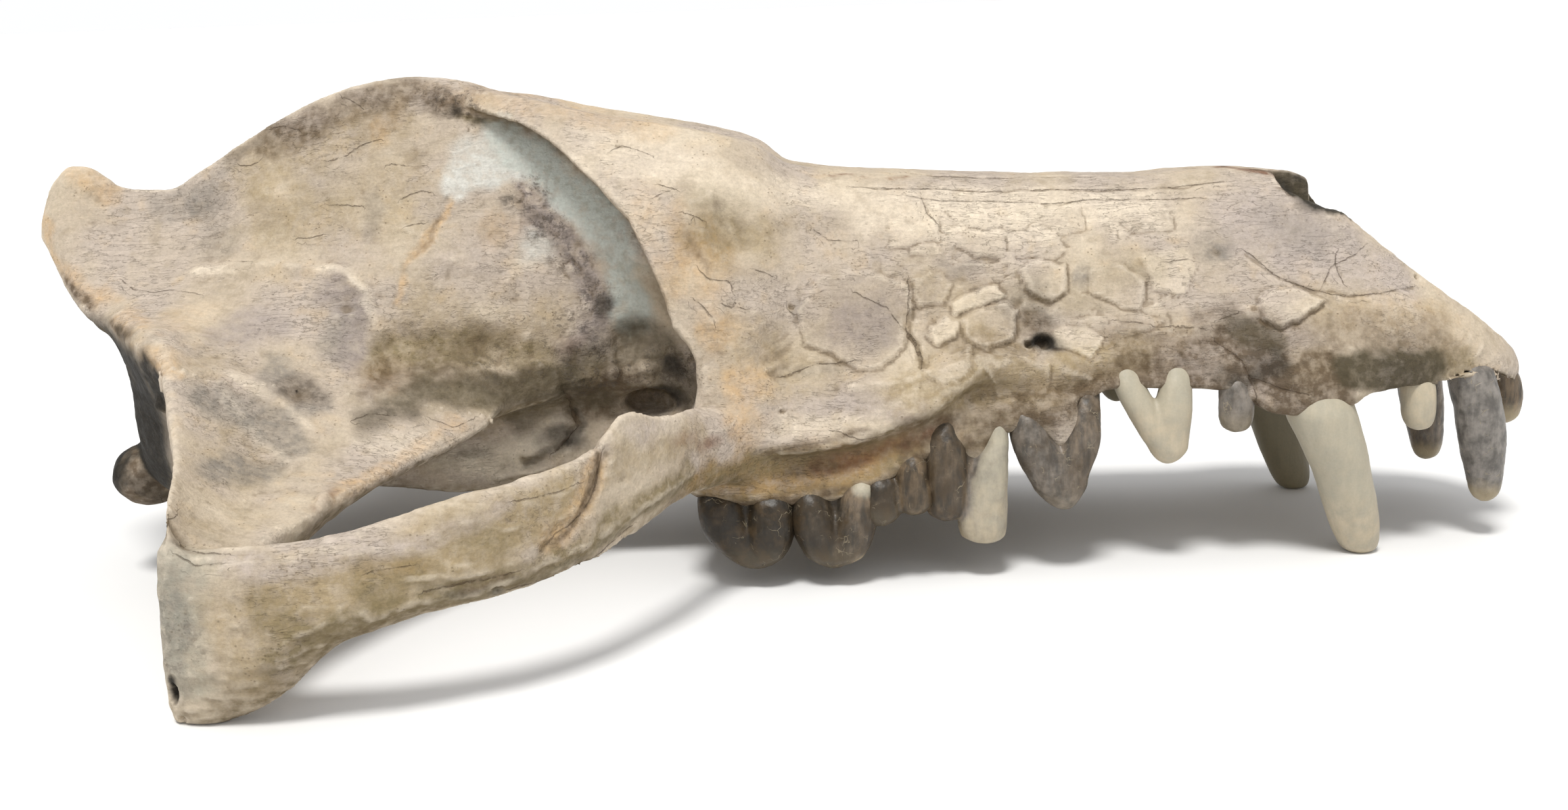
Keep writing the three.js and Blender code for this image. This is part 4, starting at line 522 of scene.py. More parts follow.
# Thin cracks, in layers whose cracks keep apart from each other.
CRACKS = [
    [
        [(-294, 3, 164), (-287, 4, 165), (-279, 7, 163)],
        [(-312, 8, 143), (-307, 10, 143), (-302, 10, 145)],
        [(-258, 18, 146), (-249, 18, 149), (-240, 17, 155), (-230, 17, 158)],
        [(-272, 39, 105), (-265, 40, 105), (-260, 40, 107)],
        [(-371, 44, 81), (-363, 51, 78), (-352, 54, 77), (-342, 54, 78), (-326, 57, 77)],
        [(-257, 30, 123), (-250, 31, 123), (-238, 34, 122)],
        [(-214, 33, 127), (-205, 32, 131), (-199, 32, 130)],
        [(68, 62, 84), (68, 68, 70), (67, 73, 59), (72, 77, 52), (75, 83, 45), (75, 86, 40)],
        [(-1, 90, 37), (16, 84, 42), (38, 82, 43)],
        [(257, 51, 99), (268, 56, 90), (275, 59, 85), (293, 62, 79), (311, 62, 76), (331, 58, 77), (353, 47, 79)],
        [(238, 73, 53), (251, 78, 43), (257, 80, 30), (263, 79, 16)],
        [(-45, 89, 94), (-41, 90, 89), (-29, 86, 88), (-28, 87, 84)],
        [(-87, 207, 24), (-88, 211, 16), (-90, 215, 9), (-93, 221, 2), (-99, 229, -4), (-106, 236, -7), (-111, 241, -12)],
        [(-161, 269, -24), (-147, 264, -23), (-135, 257, -22), (-123, 249, -21)],
        [(39, 30, 133), (88, 27, 131), (117, 28, 130), (151, 26, 131), (189, 26, 131), (226, 26, 133), (251, 24, 135)],
        [(-122, 66, 25), (-122, 45, 9), (-118, 45, -1), (-125, 46, -10), (-133, 46, -18)],
        [(-93, 51, 156), (-90, 48, 158), (-85, 49, 157)],
        [(-69, 72, 132), (-65, 70, 134), (-63, 69, 135)],
        [(-360, 42, -47), (-280, 254, 5), (-274, 257, -3), (-263, 270, -5), (-249, 273, -5)],
    ],
    [
        [(-312, 39, 91), (-307, 41, 91), (-302, 42, 91)],
        [(-251, 4, 181), (-241, 8, 176)],
        [(-222, 24, 145), (-212, 25, 144), (-203, 25, 145)],
        [(77, 32, 127), (80, 40, 119), (85, 44, 114)],
        [(308, 50, 99), (306, 53, 92), (310, 58, 83)],
        [(257, 80, 33), (272, 84, 29), (285, 88, 26)],
        [(70, 11, 139), (85, 14, 138), (119, 16, 137), (138, 11, 137), (160, 14, 137), (175, 14, 137)],
        [(-32, 92, 76), (-28, 91, 74), (-25, 89, 76)],
        [(-26, 89, 76), (-22, 89, 73), (-18, 87, 73)],
        [(-53, 75, 123), (-45, 76, 120)],
        [(-81, 50, 155), (-74, 52, 153)],
        [(-68, 67, 138), (-60, 67, 136)],
        [(-127, 247, -30), (-111, 234, -29), (-93, 216, -26), (-76, 191, -17)],
        [(40, 67, 78), (57, 69, 70), (62, 71, 63)],
        [(-271, 272, -6), (-262, 275, -10), (-250, 276, -9)],
        [(-185, 275, -13), (-168, 272, -11)],
        [(240, 67, 63), (250, 65, 66)],
        [(184, 66, 63), (206, 68, 59), (231, 69, 59)],
    ],
    [
        [(297, 61, 80), (303, 55, 90), (306, 53, 92), (318, 49, 97), (326, 43, 102)],
        [(72, 32, 127), (88, 34, 125), (113, 33, 125), (150, 34, 124), (169, 32, 126), (206, 32, 126), (235, 33, 127)],
        [(3, 75, 71), (5, 75, 68), (7, 75, 68)],
        [(214, 53, 94), (222, 53, 95), (227, 53, 94)],
        [(17, 53, 111), (25, 55, 106), (39, 54, 105)],
        [(-16, 77, 93), (-8, 74, 90)],
        [(-47, 94, 79), (-42, 95, 74), (-38, 96, 68)],
        [(-210, 42, 112), (-204, 40, 113)],
        [(-124, 248, 12), (-105, 233, 12), (-97, 224, 14)],
        [(27, 101, 9), (42, 101, 4), (53, 98, 5)],
        [(-187, 110, 17), (-176, 111, 13), (-168, 101, 15)],
        [(-225, 125, 21), (-219, 119, 22), (-207, 116, 21)],
    ],
]
FACE_CORE = 13
ORBIT = {"centre": [-76, 106, 44], "radii": [24, 55, 18]}
ORBIT_HOLE = {"centre": [-76, 44, 12], "radii": [15, 18, 8]}
OCCIPUT = {"centre": [-424, 0, 20], "radii": [62, 152, 36]}
NOSE_BREAK = [(277, 150), (281, 133), (286, 129), (291, 127), (297, 122.5), (303, 121.5), (309, 119), (315, 118.5),
              (319, 115.5), (323, 116), (326, 150)]  # the jagged top of the right wall of the nose: x, z
ROOT_BRIDGES = [  # bone between the roots of the third and the fourth premolars: centre, radii
    ([142, 83, 14], [9, 7, 13]),
    ([153, 83, 8], [10, 7, 16]),
    ([106, 84, -3], [9, 7, 12]),
]
FORAMEN_MAGNUM = {"centre": [-392, 0, 8], "radii": [30, 21, 19]}
CONDYLE = {"centre": [-369, 33, -33], "radii": [21, 23, 18]}
FACE_CUT = {"x0": -62, "slope": -0.3, "z0": -35}
ARCH_BACK = -232  # the free arch ends at this x behind
ARCH_FRONT = ([-62, 115], [0, 151])  # and at this line (x, w) in front


# ------------------------------------------------------------------ lines, sections, fields
def line(rows, at):
    """Monotone cubic through rows [s, v1, v2, ...] at the stations `at`; end values hold outside."""
    r = np.asarray(rows, float)
    s, v = r[:, 0], r[:, 1:]
    h = np.diff(s)[:, None]
    d = np.diff(v, axis=0) / h
    m = np.zeros_like(v)
    m[0], m[-1] = d[0], d[-1]
    if len(s) > 2:
        a, b = 2 * h[1:] + h[:-1], h[1:] + 2 * h[:-1]
        same = d[:-1] * d[1:] > 0
        safe0, safe1 = np.where(same, d[:-1], 1), np.where(same, d[1:], 1)
        m[1:-1] = np.where(same, (a + b) / (a / safe0 + b / safe1), 0)
    at = np.clip(np.atleast_1d(np.asarray(at, float)), s[0], s[-1])
    i = np.clip(np.searchsorted(s, at, side="right") - 1, 0, len(s) - 2)
    t = (at - s[i])[:, None] / h[i]
    return ((2 * t**3 - 3 * t**2 + 1) * v[i] + (t**3 - 2 * t**2 + t) * h[i] * m[i]
            + (3 * t**2 - 2 * t**3) * v[i + 1] + (t**3 - t**2) * h[i] * m[i + 1])


def smooth_ring(points, steps, closed):
    """Catmull-Rom through points (sections, n, 2). An open ring is half of a mirrored one."""
    if closed:
        ext = np.concatenate([points[:, -1:], points, points[:, :2]], 1)
    else:
        flip = np.array([-1.0, 1.0])
        ext = np.concatenate([points[:, 1:2] * flip, points, points[:, -2:-1] * flip], 1)
    p0, p1, p2, p3 = ext[:, :-3], ext[:, 1:-2], ext[:, 2:-1], ext[:, 3:]
    out = []
    for k in range(steps):
        t = k / steps
        out.append(0.5 * (2 * p1 + (p2 - p0) * t + (2 * p0 - 5 * p1 + 4 * p2 - p3) * t * t
                          + (3 * p1 - p0 - 3 * p2 + p3) * t**3))
    out = np.stack(out, 2).reshape(len(points), -1, 2)
    last = p2[:, -1:] if not closed else out[:, :1]
    return np.concatenate([out, last], 1)


def section_distance(ring, u, v):
    """Signed distance (negative inside) from a ring of points to the grid of u by v."""
    ring = ring.astype(np.float32)
    a, d = ring[:-1], ring[1:] - ring[:-1]
    b = ring[1:]
    size = np.maximum((d * d).sum(1), 1e-6)
    uu, vv = np.meshgrid(u, v, indexing="ij")
    pu, pv = uu.reshape(-1, 1) - a[:, 0], vv.reshape(-1, 1) - a[:, 1]
    t = np.clip((pu * d[:, 0] + pv * d[:, 1]) / size, 0, 1)
    near = ((pu - t * d[:, 0]) ** 2 + (pv - t * d[:, 1]) ** 2).min(1)
    rise = np.where(np.abs(d[:, 1]) < 1e-6, 1e-6, d[:, 1])
    level = (a[:, 1] > vv.reshape(-1, 1)) != (b[:, 1] > vv.reshape(-1, 1))
    right = pu < pv * (d[:, 0] / rise)
    inside = (level & right).sum(1) % 2 == 1
    return (np.where(inside, -1, 1) * np.sqrt(near)).reshape(uu.shape)


def smooth_min(a, b, k):
    h = np.maximum(k - np.abs(a - b), 0) / k
    return np.minimum(a, b) - h * h * (k / 4)


def smooth_max(a, b, k):
    return -smooth_min(-a, -b, k)


class Grid:
    def __init__(self, low, high, step, half):
        """half: the second axis starts half a step behind the midplane."""
        self.step = step
        self.x = np.arange(low[0], high[0] + step, step, dtype=np.float32)
        self.w = (np.arange(-0.5 * step, high[1] + step, step) if half
                  else np.arange(low[1], high[1] + step, step)).astype(np.float32)
        self.z = np.arange(low[2], high[2] + step, step, dtype=np.float32)
        self.half = half
        self.X, self.W, self.Z = self.x[:, None, None], self.w[None, :, None], self.z[None, None, :]
        self.shape = (len(self.x), len(self.w), len(self.z))

    def empty(self):
        return np.full(self.shape, 40, np.float32)

    def loft(self, rings, across, low, high, cap=4, margin=17):
        """Distance field of a loft. rings(stations) gives its rings: (w, z) across x, (x, z) across w."""
        field = self.empty()
        axis = 0 if across == "x" else 1
        station, u = (self.x, self.w) if across == "x" else (self.w, self.x)
        use = np.nonzero((station > low - margin) & (station < high + margin))[0]
        sections = rings(np.clip(station[use], low, high))
        for i, ring in zip(use, sections):
            c0, c1 = ring.min(0) - margin, ring.max(0) + margin
            iu = slice(*np.searchsorted(u, [c0[0], c1[0]]))
            iv = slice(*np.searchsorted(self.z, [c0[1], c1[1]]))
            d = section_distance(ring, np.abs(u[iu]) if across == "x" else u[iu], self.z[iv])
            if axis == 0:
                field[i, iu, iv] = d
            else:
                field[iu, i, iv] = d
        lo, hi = use[0], use[-1] + 1
        cut = (slice(lo, hi),) if axis == 0 else (slice(None), slice(lo, hi))
        part = field[cut]
        part /= np.sqrt(1 + np.minimum(np.abs(np.gradient(part, self.step, axis=axis)), 3) ** 2)
        pos = self.X if axis == 0 else self.W
        pos = pos[lo:hi] if axis == 0 else pos[:, lo:hi]
        if low > -9000:
            part = smooth_max(part, low - pos, cap)
        part = smooth_max(part, pos - high, cap)
        field[cut] = part
        return field

    def ellipsoid(self, centre, radii, margin=20):
        """Distance field of an ellipsoid, near it; far away it is a large number."""
        field = self.empty()
        sl = tuple(slice(*np.searchsorted(a, [c - r - margin, c + r + margin]))
                   for a, c, r in zip((self.x, self.w, self.z), centre, radii))
        d = [(a[s] - c) for a, s, c in zip((self.x, self.w, self.z), sl, centre)]
        d = np.ix_(*d)
        k0 = np.sqrt(sum((q / r) ** 2 for q, r in zip(d, radii)))
        k1 = np.sqrt(sum((q / (r * r)) ** 2 for q, r in zip(d, radii)))
        field[sl] = k0 * (k0 - 1) / np.maximum(k1, 1e-6)
        return field, sl

    def mesh(self, field):
        """Surface net of the zero level: points and quads, mirrored over the midplane for a half grid."""
        n = self.shape
        inside = field < 0
        count = np.zeros([k - 1 for k in n], np.uint8)
        for i in (0, 1):
            for j in (0, 1):
                for k in (0, 1):
                    count += inside[i:n[0] - 1 + i, j:n[1] - 1 + j, k:n[2] - 1 + k]
        ci, cj, ck = np.nonzero((count > 0) & (count < 8))
        del count
        corners = np.stack([field[ci + i, cj + j, ck + k] for i in (0, 1) for j in (0, 1) for k in (0, 1)], 1)
        offset = np.array([(i, j, k) for i in (0, 1) for j in (0, 1) for k in (0, 1)], np.float32)
        total, hits = np.zeros((len(ci), 3), np.float32), np.zeros((len(ci), 1), np.float32)
        for a in range(8):
            for b in range(a + 1, 8):
                if np.abs(offset[a] - offset[b]).sum() != 1:
                    continue
                fa, fb = corners[:, a], corners[:, b]
                cross = (fa < 0) != (fb < 0)
                t = np.where(cross, fa / np.where(cross, fa - fb, 1), 0)
                total += cross[:, None] * (offset[a] + t[:, None] * (offset[b] - offset[a]))
                hits += cross[:, None]
        local = total / hits
        points = np.stack([self.x[ci] + local[:, 0] * self.step, self.w[cj] + local[:, 1] * self.step,
                           self.z[ck] + local[:, 2] * self.step], 1)
        index = np.full([k - 1 for k in n], -1, np.int32)
        index[ci, cj, ck] = np.arange(len(ci))
        quads = []
        for axis in range(3):
            ahead = [slice(None)] * 3
            back = [slice(None)] * 3
            ahead[axis], back[axis] = slice(1, None), slice(None, -1)
            e = np.stack(np.nonzero(inside[tuple(ahead)] != inside[tuple(back)]), 1)
            b, c = (axis + 1) % 3, (axis + 2) % 3
            e = e[(e[:, b] > 0) & (e[:, c] > 0) & (e[:, b] < n[b] - 1) & (e[:, c] < n[c] - 1)]
            q = []
            for db, dc in ((-1, -1), (0, -1), (0, 0), (-1, 0)):
                k = e.copy()
                k[:, b] += db
                k[:, c] += dc
                q.append(index[k[:, 0], k[:, 1], k[:, 2]])
            q = np.stack(q, 1)
            out = inside[e[:, 0], e[:, 1], e[:, 2]]
            q[~out] = q[~out][:, ::-1]
            quads.append(q)
        quads = np.concatenate(quads)
        if self.half:
            middle = cj == 0
            points[middle, 1] = 0
            twin = np.arange(len(points)) + len(points)
            twin[middle] = np.nonzero(middle)[0]
            mirrored = points * np.array([1, -1, 1], np.float32)
            both = np.concatenate([points, mirrored])
            faces = np.concatenate([quads, twin[quads][:, ::-1]])
            used = np.unique(faces)
            remap = np.full(len(both), -1, np.int64)
            remap[used] = np.arange(len(used))
            points, quads = both[used], remap[faces]
        return points, quads


def half_rings(lines, steps=4):
    def rings(x):
        return smooth_ring(np.stack([line(r, x) for r in lines.values()], 1), steps, False)
    return rings


def closed_rings(lines, steps=4):
    def rings(x):
        return smooth_ring(np.stack([line(r, x) for r in lines.values()], 1), steps, True)
    return rings


def nostril_rings(x):
    z, w, h = line([[r[0], r[1], r[2], r[3]] for r in NOSTRIL], x).T
    lift = line(NOSTRIL_LIFT, x)[:, 0]
    a = np.linspace(math.pi / 2, -math.pi / 2, 25)
    up = np.maximum(np.sin(a), 0)
    return np.stack([w[:, None] * np.cos(a), z[:, None] + h[:, None] * np.sin(a) + lift[:, None] * up], 2)


# ------------------------------------------------------------------ the bone as a field
def bone_field(g):
    case = g.loft(half_rings(BRAINCASE), "x", -432, -22)
    face = g.loft(half_rings(FACE), "x", -195, 430)
    temporal = line(TEMPORAL_LINE, -g.z)[:, 0].astype(np.float32)[None, None, :]
    behind = smooth_max(g.X - temporal, FACE_CORE - np.abs(g.W), 6)
    face = smooth_max(face, -behind, 5)
    body = smooth_min(case, face, 9)
    root = g.loft(closed_rings(ROOT), "w", 70, 272, cap=6)
    body = smooth_min(body, root, 14)
    arch = g.loft(closed_rings(ARCH), "x", -281, -5, cap=5)
    body = smooth_min(body, arch, 9)
    x, w, rx, rw = line(PAROCCIPITAL[::-1], g.z).T.astype(np.float32)[:, None, None, :]
    post = (np.sqrt(((g.X - x) / rx) ** 2 + ((g.W - w) / rw) ** 2) - 1) * np.minimum(rx, rw)
    post = smooth_max(smooth_max(post, -57 - g.Z, 6), g.Z - 0, 6)
    body = smooth_min(body, post, 7)
    orbit, _ = g.ellipsoid(ORBIT["centre"], ORBIT["radii"])
    body = smooth_max(body, -orbit, 13)
    pit, _ = g.ellipsoid(ORBIT_HOLE["centre"], ORBIT_HOLE["radii"])
    body = smooth_max(body, -pit, 5)
    nape, _ = g.ellipsoid(OCCIPUT["centre"], OCCIPUT["radii"])
    body = smooth_max(body, -nape, 9)
    knob, _ = g.ellipsoid(CONDYLE["centre"], CONDYLE["radii"])
    body = smooth_min(body, knob, 5)
    hole, _ = g.ellipsoid(FORAMEN_MAGNUM["centre"], FORAMEN_MAGNUM["radii"])
    body = smooth_max(body, -hole, 4)
    nose = g.loft(nostril_rings, "x", 222, 440, cap=3)
    body = smooth_max(body, -nose, 3)
    for centre, radii in ROOT_BRIDGES:
        bridge, _ = g.ellipsoid(centre, radii)
        body = smooth_min(body, bridge, 6)
    feet = g.X * math.sin(REST_PITCH) - g.Z * math.cos(REST_PITCH) - REST_LIFT
    return smooth_max(body, feet, 1.5)


# ------------------------------------------------------------------ meshes as arrays
def vertex_normals(points, tris):
    a, b, c = points[tris[:, 0]], points[tris[:, 1]], points[tris[:, 2]]
    face = np.cross(b - a, c - a)
    out = np.zeros((len(points), 3))
    for i in range(3):
        for k in range(3):
            out[:, k] += np.bincount(tris[:, i], face[:, k], len(points))
    return out / np.maximum(np.linalg.norm(out, axis=1, keepdims=True), 1e-9)


def triangles_of(points, quads):
    """Each quad is split along its shorter diagonal."""
    d0 = np.linalg.norm(points[quads[:, 0]] - points[quads[:, 2]], axis=1)
    d1 = np.linalg.norm(points[quads[:, 1]] - points[quads[:, 3]], axis=1)
    first = d0 <= d1
    a = np.where(first[:, None], quads[:, [0, 1, 2]], quads[:, [0, 1, 3]])
    b = np.where(first[:, None], quads[:, [0, 2, 3]], quads[:, [1, 2, 3]])
    return np.concatenate([a, b])


def relax(points, quads, rounds=2, keep=0.5):
    """Evens out a surface net without shrinking it much."""
    e = np.concatenate([quads[:, [0, 1]], quads[:, [1, 2]], quads[:, [2, 3]], quads[:, [3, 0]]])
    e = np.concatenate([e, e[:, ::-1]])
    degree = np.bincount(e[:, 0], minlength=len(points))[:, None]
    for i in range(rounds * 2):
        mean = np.stack([np.bincount(e[:, 0], points[e[:, 1], k], len(points)) for k in range(3)], 1) / degree
        points = points + (mean - points) * (keep if i % 2 == 0 else -keep * 1.04)
    return points


def plain_mesh(name, points, faces, normals=None):
    """A Blender mesh from arrays; faces may be an (n, 3) array or a list."""
    me = bpy.data.meshes.new(name)
    faces = np.asarray(faces)
    n, k = faces.shape
    me.vertices.add(len(points))
    me.vertices.foreach_set("co", np.asarray(points, np.float32).ravel())
    me.loops.add(n * k)
    me.loops.foreach_set("vertex_index", faces.astype(np.int32).ravel())
    me.polygons.add(n)
    me.polygons.foreach_set("loop_start", np.arange(n, dtype=np.int32) * k)
    me.polygons.foreach_set("use_smooth", np.ones(n, bool))
    me.update(calc_edges=True)
    return me


def thinned(points, tris, target):
    """Fewer triangles, spent where the surface bends."""
    if len(tris) <= target:
        return points, tris
    me = plain_mesh("thin", points, tris)
    ob = bpy.data.objects.new("thin", me)
    bpy.context.scene.collection.objects.link(ob)
    mod = ob.modifiers.new("thin", "DECIMATE")
    mod.ratio = target / len(tris)
    graph = bpy.context.evaluated_depsgraph_get()
    out = ob.evaluated_get(graph).to_mesh()
    p = np.zeros(len(out.vertices) * 3, np.float32)
    out.vertices.foreach_get("co", p)
    out.calc_loop_triangles()
    t = np.zeros(len(out.loop_triangles) * 3, np.int32)
    out.loop_triangles.foreach_get("vertices", t)
    ob.evaluated_get(graph).to_mesh_clear()
    bpy.data.objects.remove(ob)
    bpy.data.meshes.remove(me)
    return p.reshape(-1, 3).astype(float), t.reshape(-1, 3).astype(np.int64)


def split(points, tris, normals, normal, offset, use):
    """Cuts the triangles marked in `use` along the plane; the new points are shared."""
    s = points @ np.asarray(normal, float) - offset
    local = np.zeros(len(points), bool)
    local[tris[use].ravel()] = True
    snap = local & (np.abs(s) < 0.08)
    points[snap] -= np.outer(s[snap], normal) / np.dot(normal, normal)
    s[snap] = 0
    st = s[tris]
    cross = use & (st.max(1) > 0) & (st.min(1) < 0)
    made, new_points, new_normals, new_tris = {}, [], [], []

    def middle(a, b):
        key = (a, b) if a < b else (b, a)
        if key not in made:
            t = s[key[0]] / (s[key[0]] - s[key[1]])
            made[key] = len(points) + len(new_points)
            new_points.append(points[key[0]] * (1 - t) + points[key[1]] * t)
            n = normals[key[0]] * (1 - t) + normals[key[1]] * t
            new_normals.append(n / max(np.linalg.norm(n), 1e-9))
        return made[key]

    for tri in tris[cross].tolist():
        side = [0 if s[v] == 0 else (1 if s[v] > 0 else -1) for v in tri]
        if 0 in side:
            i = side.index(0)
            a, b, c = tri[i], tri[(i + 1) % 3], tri[(i + 2) % 3]
            m = middle(b, c)
            new_tris += [[a, b, m], [a, m, c]]
        else:
            lone = 1 if side.count(1) == 1 else -1
            i = side.index(lone)
            a, b, c = tri[i], tri[(i + 1) % 3], tri[(i + 2) % 3]
            m, n = middle(a, b), middle(a, c)
            new_tris += [[a, m, n], [m, b, c], [m, c, n]]
    if not new_tris:
        return points, tris, normals
    return (np.concatenate([points, new_points]), np.concatenate([tris[~cross], new_tris]),
            np.concatenate([normals, new_normals]))


def open_loops(tris):
    """Closed chains of the edges that only one triangle uses, in its direction."""
    e = np.concatenate([tris[:, [0, 1]], tris[:, [1, 2]], tris[:, [2, 0]]])
    key = e.min(1) * (e.max() + 1) + e.max(1)
    _, index, count = np.unique(key, return_index=True, return_counts=True)
    follow = dict(e[index[count == 1]].tolist())
    loops = []
    while follow:
        start, at = next(iter(follow.items()))
        del follow[start]
        loop = [start]
        while at != start:
            loop.append(at)
            at = follow.pop(at)
        loops.append(loop)
    return loops


def capped(points, tris, normals):
    """The part of a mesh that `tris` names, with a flat cap on each open loop, ready for piece()."""
    used, inverse = np.unique(tris, return_inverse=True)
    p, n, t = points[used], normals[used], inverse.reshape(-1, 3)
    loop_normals = n[t.ravel()]
    caps, cap_normals = [], []
    for loop in open_loops(t):
        ring = [Vector(p[v]) for v in loop]
        for tri in tessellate_polygon([ring]):
            q = [loop[i] for i in tri]
            caps.append(q)
    if caps:
        # a cap turns against the triangles beside it
        caps = np.array(caps)
        forward = set(map(tuple, np.concatenate([t[:, [0, 1]], t[:, [1, 2]], t[:, [2, 0]]]).tolist()))
        for i, q in enumerate(caps.tolist()):
            edges = [(q[0], q[1]), (q[1], q[2]), (q[2], q[0])]
            if any(e in forward for e in edges):
                caps[i] = q[::-1]
        a, b, c = p[caps[:, 0]], p[caps[:, 1]], p[caps[:, 2]]
        cn = np.cross(b - a, c - a)
        cn /= np.maximum(np.linalg.norm(cn, axis=1, keepdims=True), 1e-9)
        # caps without a rim edge turn as the rest of their cap does
        rim = np.array([any(e in forward or e[::-1] in forward for e in
                            ((q[0], q[1]), (q[1], q[2]), (q[2], q[0]))) for q in caps.tolist()])
        for i in np.nonzero(~rim)[0]:
            near = np.linalg.norm((a + b + c)[rim] - (a + b + c)[i], axis=1).argmin()
            if cn[i] @ cn[rim][near] < 0:
                caps[i] = caps[i][::-1]
                cn[i] = -cn[i]
        cap_normals = np.repeat(cn, 3, 0)
        loop_normals = np.concatenate([loop_normals, cap_normals])
        t = np.concatenate([t, caps])
    return p, t, loop_normals


def to_rest(points):
    """From the shaping frame in mm to the row frame in metres."""
    c, s = math.cos(REST_PITCH), math.sin(REST_PITCH)
    x, y, z = points[:, 0], points[:, 1], points[:, 2]
    return np.stack([x * c + z * s + REST_SHIFT, y, -x * s + z * c + REST_LIFT], 1) / 1000


def to_rest_direction(v):
    c, s = math.cos(REST_PITCH), math.sin(REST_PITCH)
    return np.stack([v[:, 0] * c + v[:, 2] * s, v[:, 1], -v[:, 0] * s + v[:, 2] * c], 1)


def piece(name, points, tris, loop_normals, material, nodes, masks=None):
    ordered = np.sort(tris, 1)
    key = (ordered[:, 0] * len(points) + ordered[:, 1]) * len(points) + ordered[:, 2]
    _, first = np.unique(key, return_index=True)
    good = np.zeros(len(tris), bool)
    good[first] = True
    good &= (ordered[:, 0] != ordered[:, 1]) & (ordered[:, 1] != ordered[:, 2])
    if loop_normals is not None:
        loop_normals = loop_normals[np.repeat(good, 3)]
    tris = tris[good]
    rest = to_rest(points)
    rest[:, 2] = np.maximum(rest[:, 2], 0)
    me = plain_mesh(name, rest, tris)
    if loop_normals is not None:
        me.normals_split_custom_set(to_rest_direction(loop_normals).tolist())
    for key, values in (masks or {}).items():
        layer = me.attributes.new(key, "FLOAT", "POINT")
        layer.data.foreach_set("value", np.asarray(values, np.float32))
    me.materials.append(material)
    ob = bpy.data.objects.new(name, me)
    bpy.context.scene.collection.objects.link(ob)
    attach(ob, "root")
    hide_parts(*nodes)
    return ob


# ------------------------------------------------------------------ colours (sRGB) of the bone, its stains and its painted shade
PALETTE = {  # sRGB
    "bone": (185, 170, 149),
    "lilac": (178, 166, 158),
    "pale": (222, 208, 187),
    "tan": (156, 138, 106),
    "ochre": (196, 162, 118),
    "gold": (150, 122, 78),
    "olive": (124, 110, 78),
    "grey": (128, 122, 114),
    "slate": (146, 145, 132),
    "purple": (148, 137, 131),
    "plaster": (204, 202, 194),
    "cast": (186, 190, 182),
    "red": (112, 74, 50),
    "umber": (86, 70, 52),
    "moss": (70, 62, 44),
    "dark": (34, 31, 26),
}


# ------------------------------------------------------------------ noise and features
def lattice(i, j, k, seed):
    n = (i * 374761393 + j * 668265263 + k * 1440670441 + seed * 974634777) & 0xFFFFFFFF
    n = ((n ^ (n >> 13)) * 1274126177) & 0xFFFFFFFF
    return (n ^ (n >> 16)) / 2147483648.0 - 1


def noise(q, seed=0):
    """Smooth noise in -1..1 at points q (n, 3), one lump per unit."""
    i = np.floor(q).astype(np.int64)
    f = q - i
    f = f * f * (3 - 2 * f)
    x, y, z = i.T
    out = 0
    for dx in (0, 1):
        for dy in (0, 1):
            for dz in (0, 1):
                weight = (np.abs(1 - dx - f[:, 0]) * np.abs(1 - dy - f[:, 1]) * np.abs(1 - dz - f[:, 2]))
                out = out + weight * lattice(x + dx, y + dy, z + dz, seed)
    return out


def fractal(q, octaves=3, seed=0):
    return sum(noise(q * 2.03**k + 17.3 * k, seed + k) * 0.5**k for k in range(octaves)) / 1.5


def warp(q, size, amount, seed):
    return q + amount * np.stack([noise(q / size + 31.7 * k, seed + k) for k in range(3)], 1)


def cells(u, v, seed):
    """Irregular cells: distance from the cell's edge (in cells), a number for the cell, the place inside it."""
    iu, iv = np.floor(u).astype(np.int64), np.floor(v).astype(np.int64)
    first, second, name = np.full(len(u), 9.0), np.full(len(u), 9.0), np.zeros(len(u))
    in_u, in_v = np.zeros(len(u)), np.zeros(len(u))
    for du in (-1, 0, 1):
        for dv in (-1, 0, 1):
            a, b = iu + du, iv + dv
            pu, pv = u - a - 0.5 - 0.45 * lattice(a, b, 0, seed), v - b - 0.5 - 0.45 * lattice(a, b, 1, seed)
            d = np.maximum(np.abs(pu) * 0.9, np.abs(pv)) + 0.3 * np.hypot(pu, pv)
            closer = d < first
            second = np.where(closer, first, np.minimum(second, d))
            name = np.where(closer, lattice(a, b, 2, seed), name)
            in_u, in_v = np.where(closer, pu, in_u), np.where(closer, pv, in_v)
            first = np.where(closer, d, first)
    return (second - first) / 2, name, in_u, in_v


def step_up(x, low, high):
    t = np.clip((x - low) / (high - low), 0, 1)
    return t * t * (3 - 2 * t)


def pattern_frame(points, normals):
    """Both sides carry the right side's features; on the left they are shifted about a little."""
    left = step_up(points[:, 1], 4, 24)[:, None]
    q = points.copy()
    q[:, 1] = np.abs(q[:, 1])
    shift = np.stack([11 * noise(points / 80, 71), 3 * noise(points / 60, 72), 8 * noise(points / 80, 73)], 1)
    n = normals.copy()
    n[:, 1] *= np.where(points[:, 1] >= 0, 1, -1)
    return q + left * shift, n


def beside(q, n, path, reach):
    """Points within reach of a path lying on the surface: which, how far, and on which side."""
    path = np.array(path, float)
    low, high = path.min(0) - reach - 6, path.max(0) + reach + 6
    at = np.nonzero(((q > low) & (q < high)).all(1))[0]
    far, side = np.full(len(at), 1e3), np.ones(len(at))
    p, m = q[at], n[at]
    for a, b in zip(path[:-1], path[1:]):
        d = b - a
        t = np.clip((p - a) @ d / (d @ d), 0, 1)
        off = p - (a + t[:, None] * d)
        depth = (off * m).sum(1)
        dist = np.sqrt(np.maximum((off * off).sum(1) - depth**2, 0)) + np.maximum(np.abs(depth) - 9, 0)
        s = np.sign((np.cross(d, m) * off).sum(1))
        closer = dist < far
        far, side = np.where(closer, dist, far), np.where(closer, s, side)
    return at, far, side


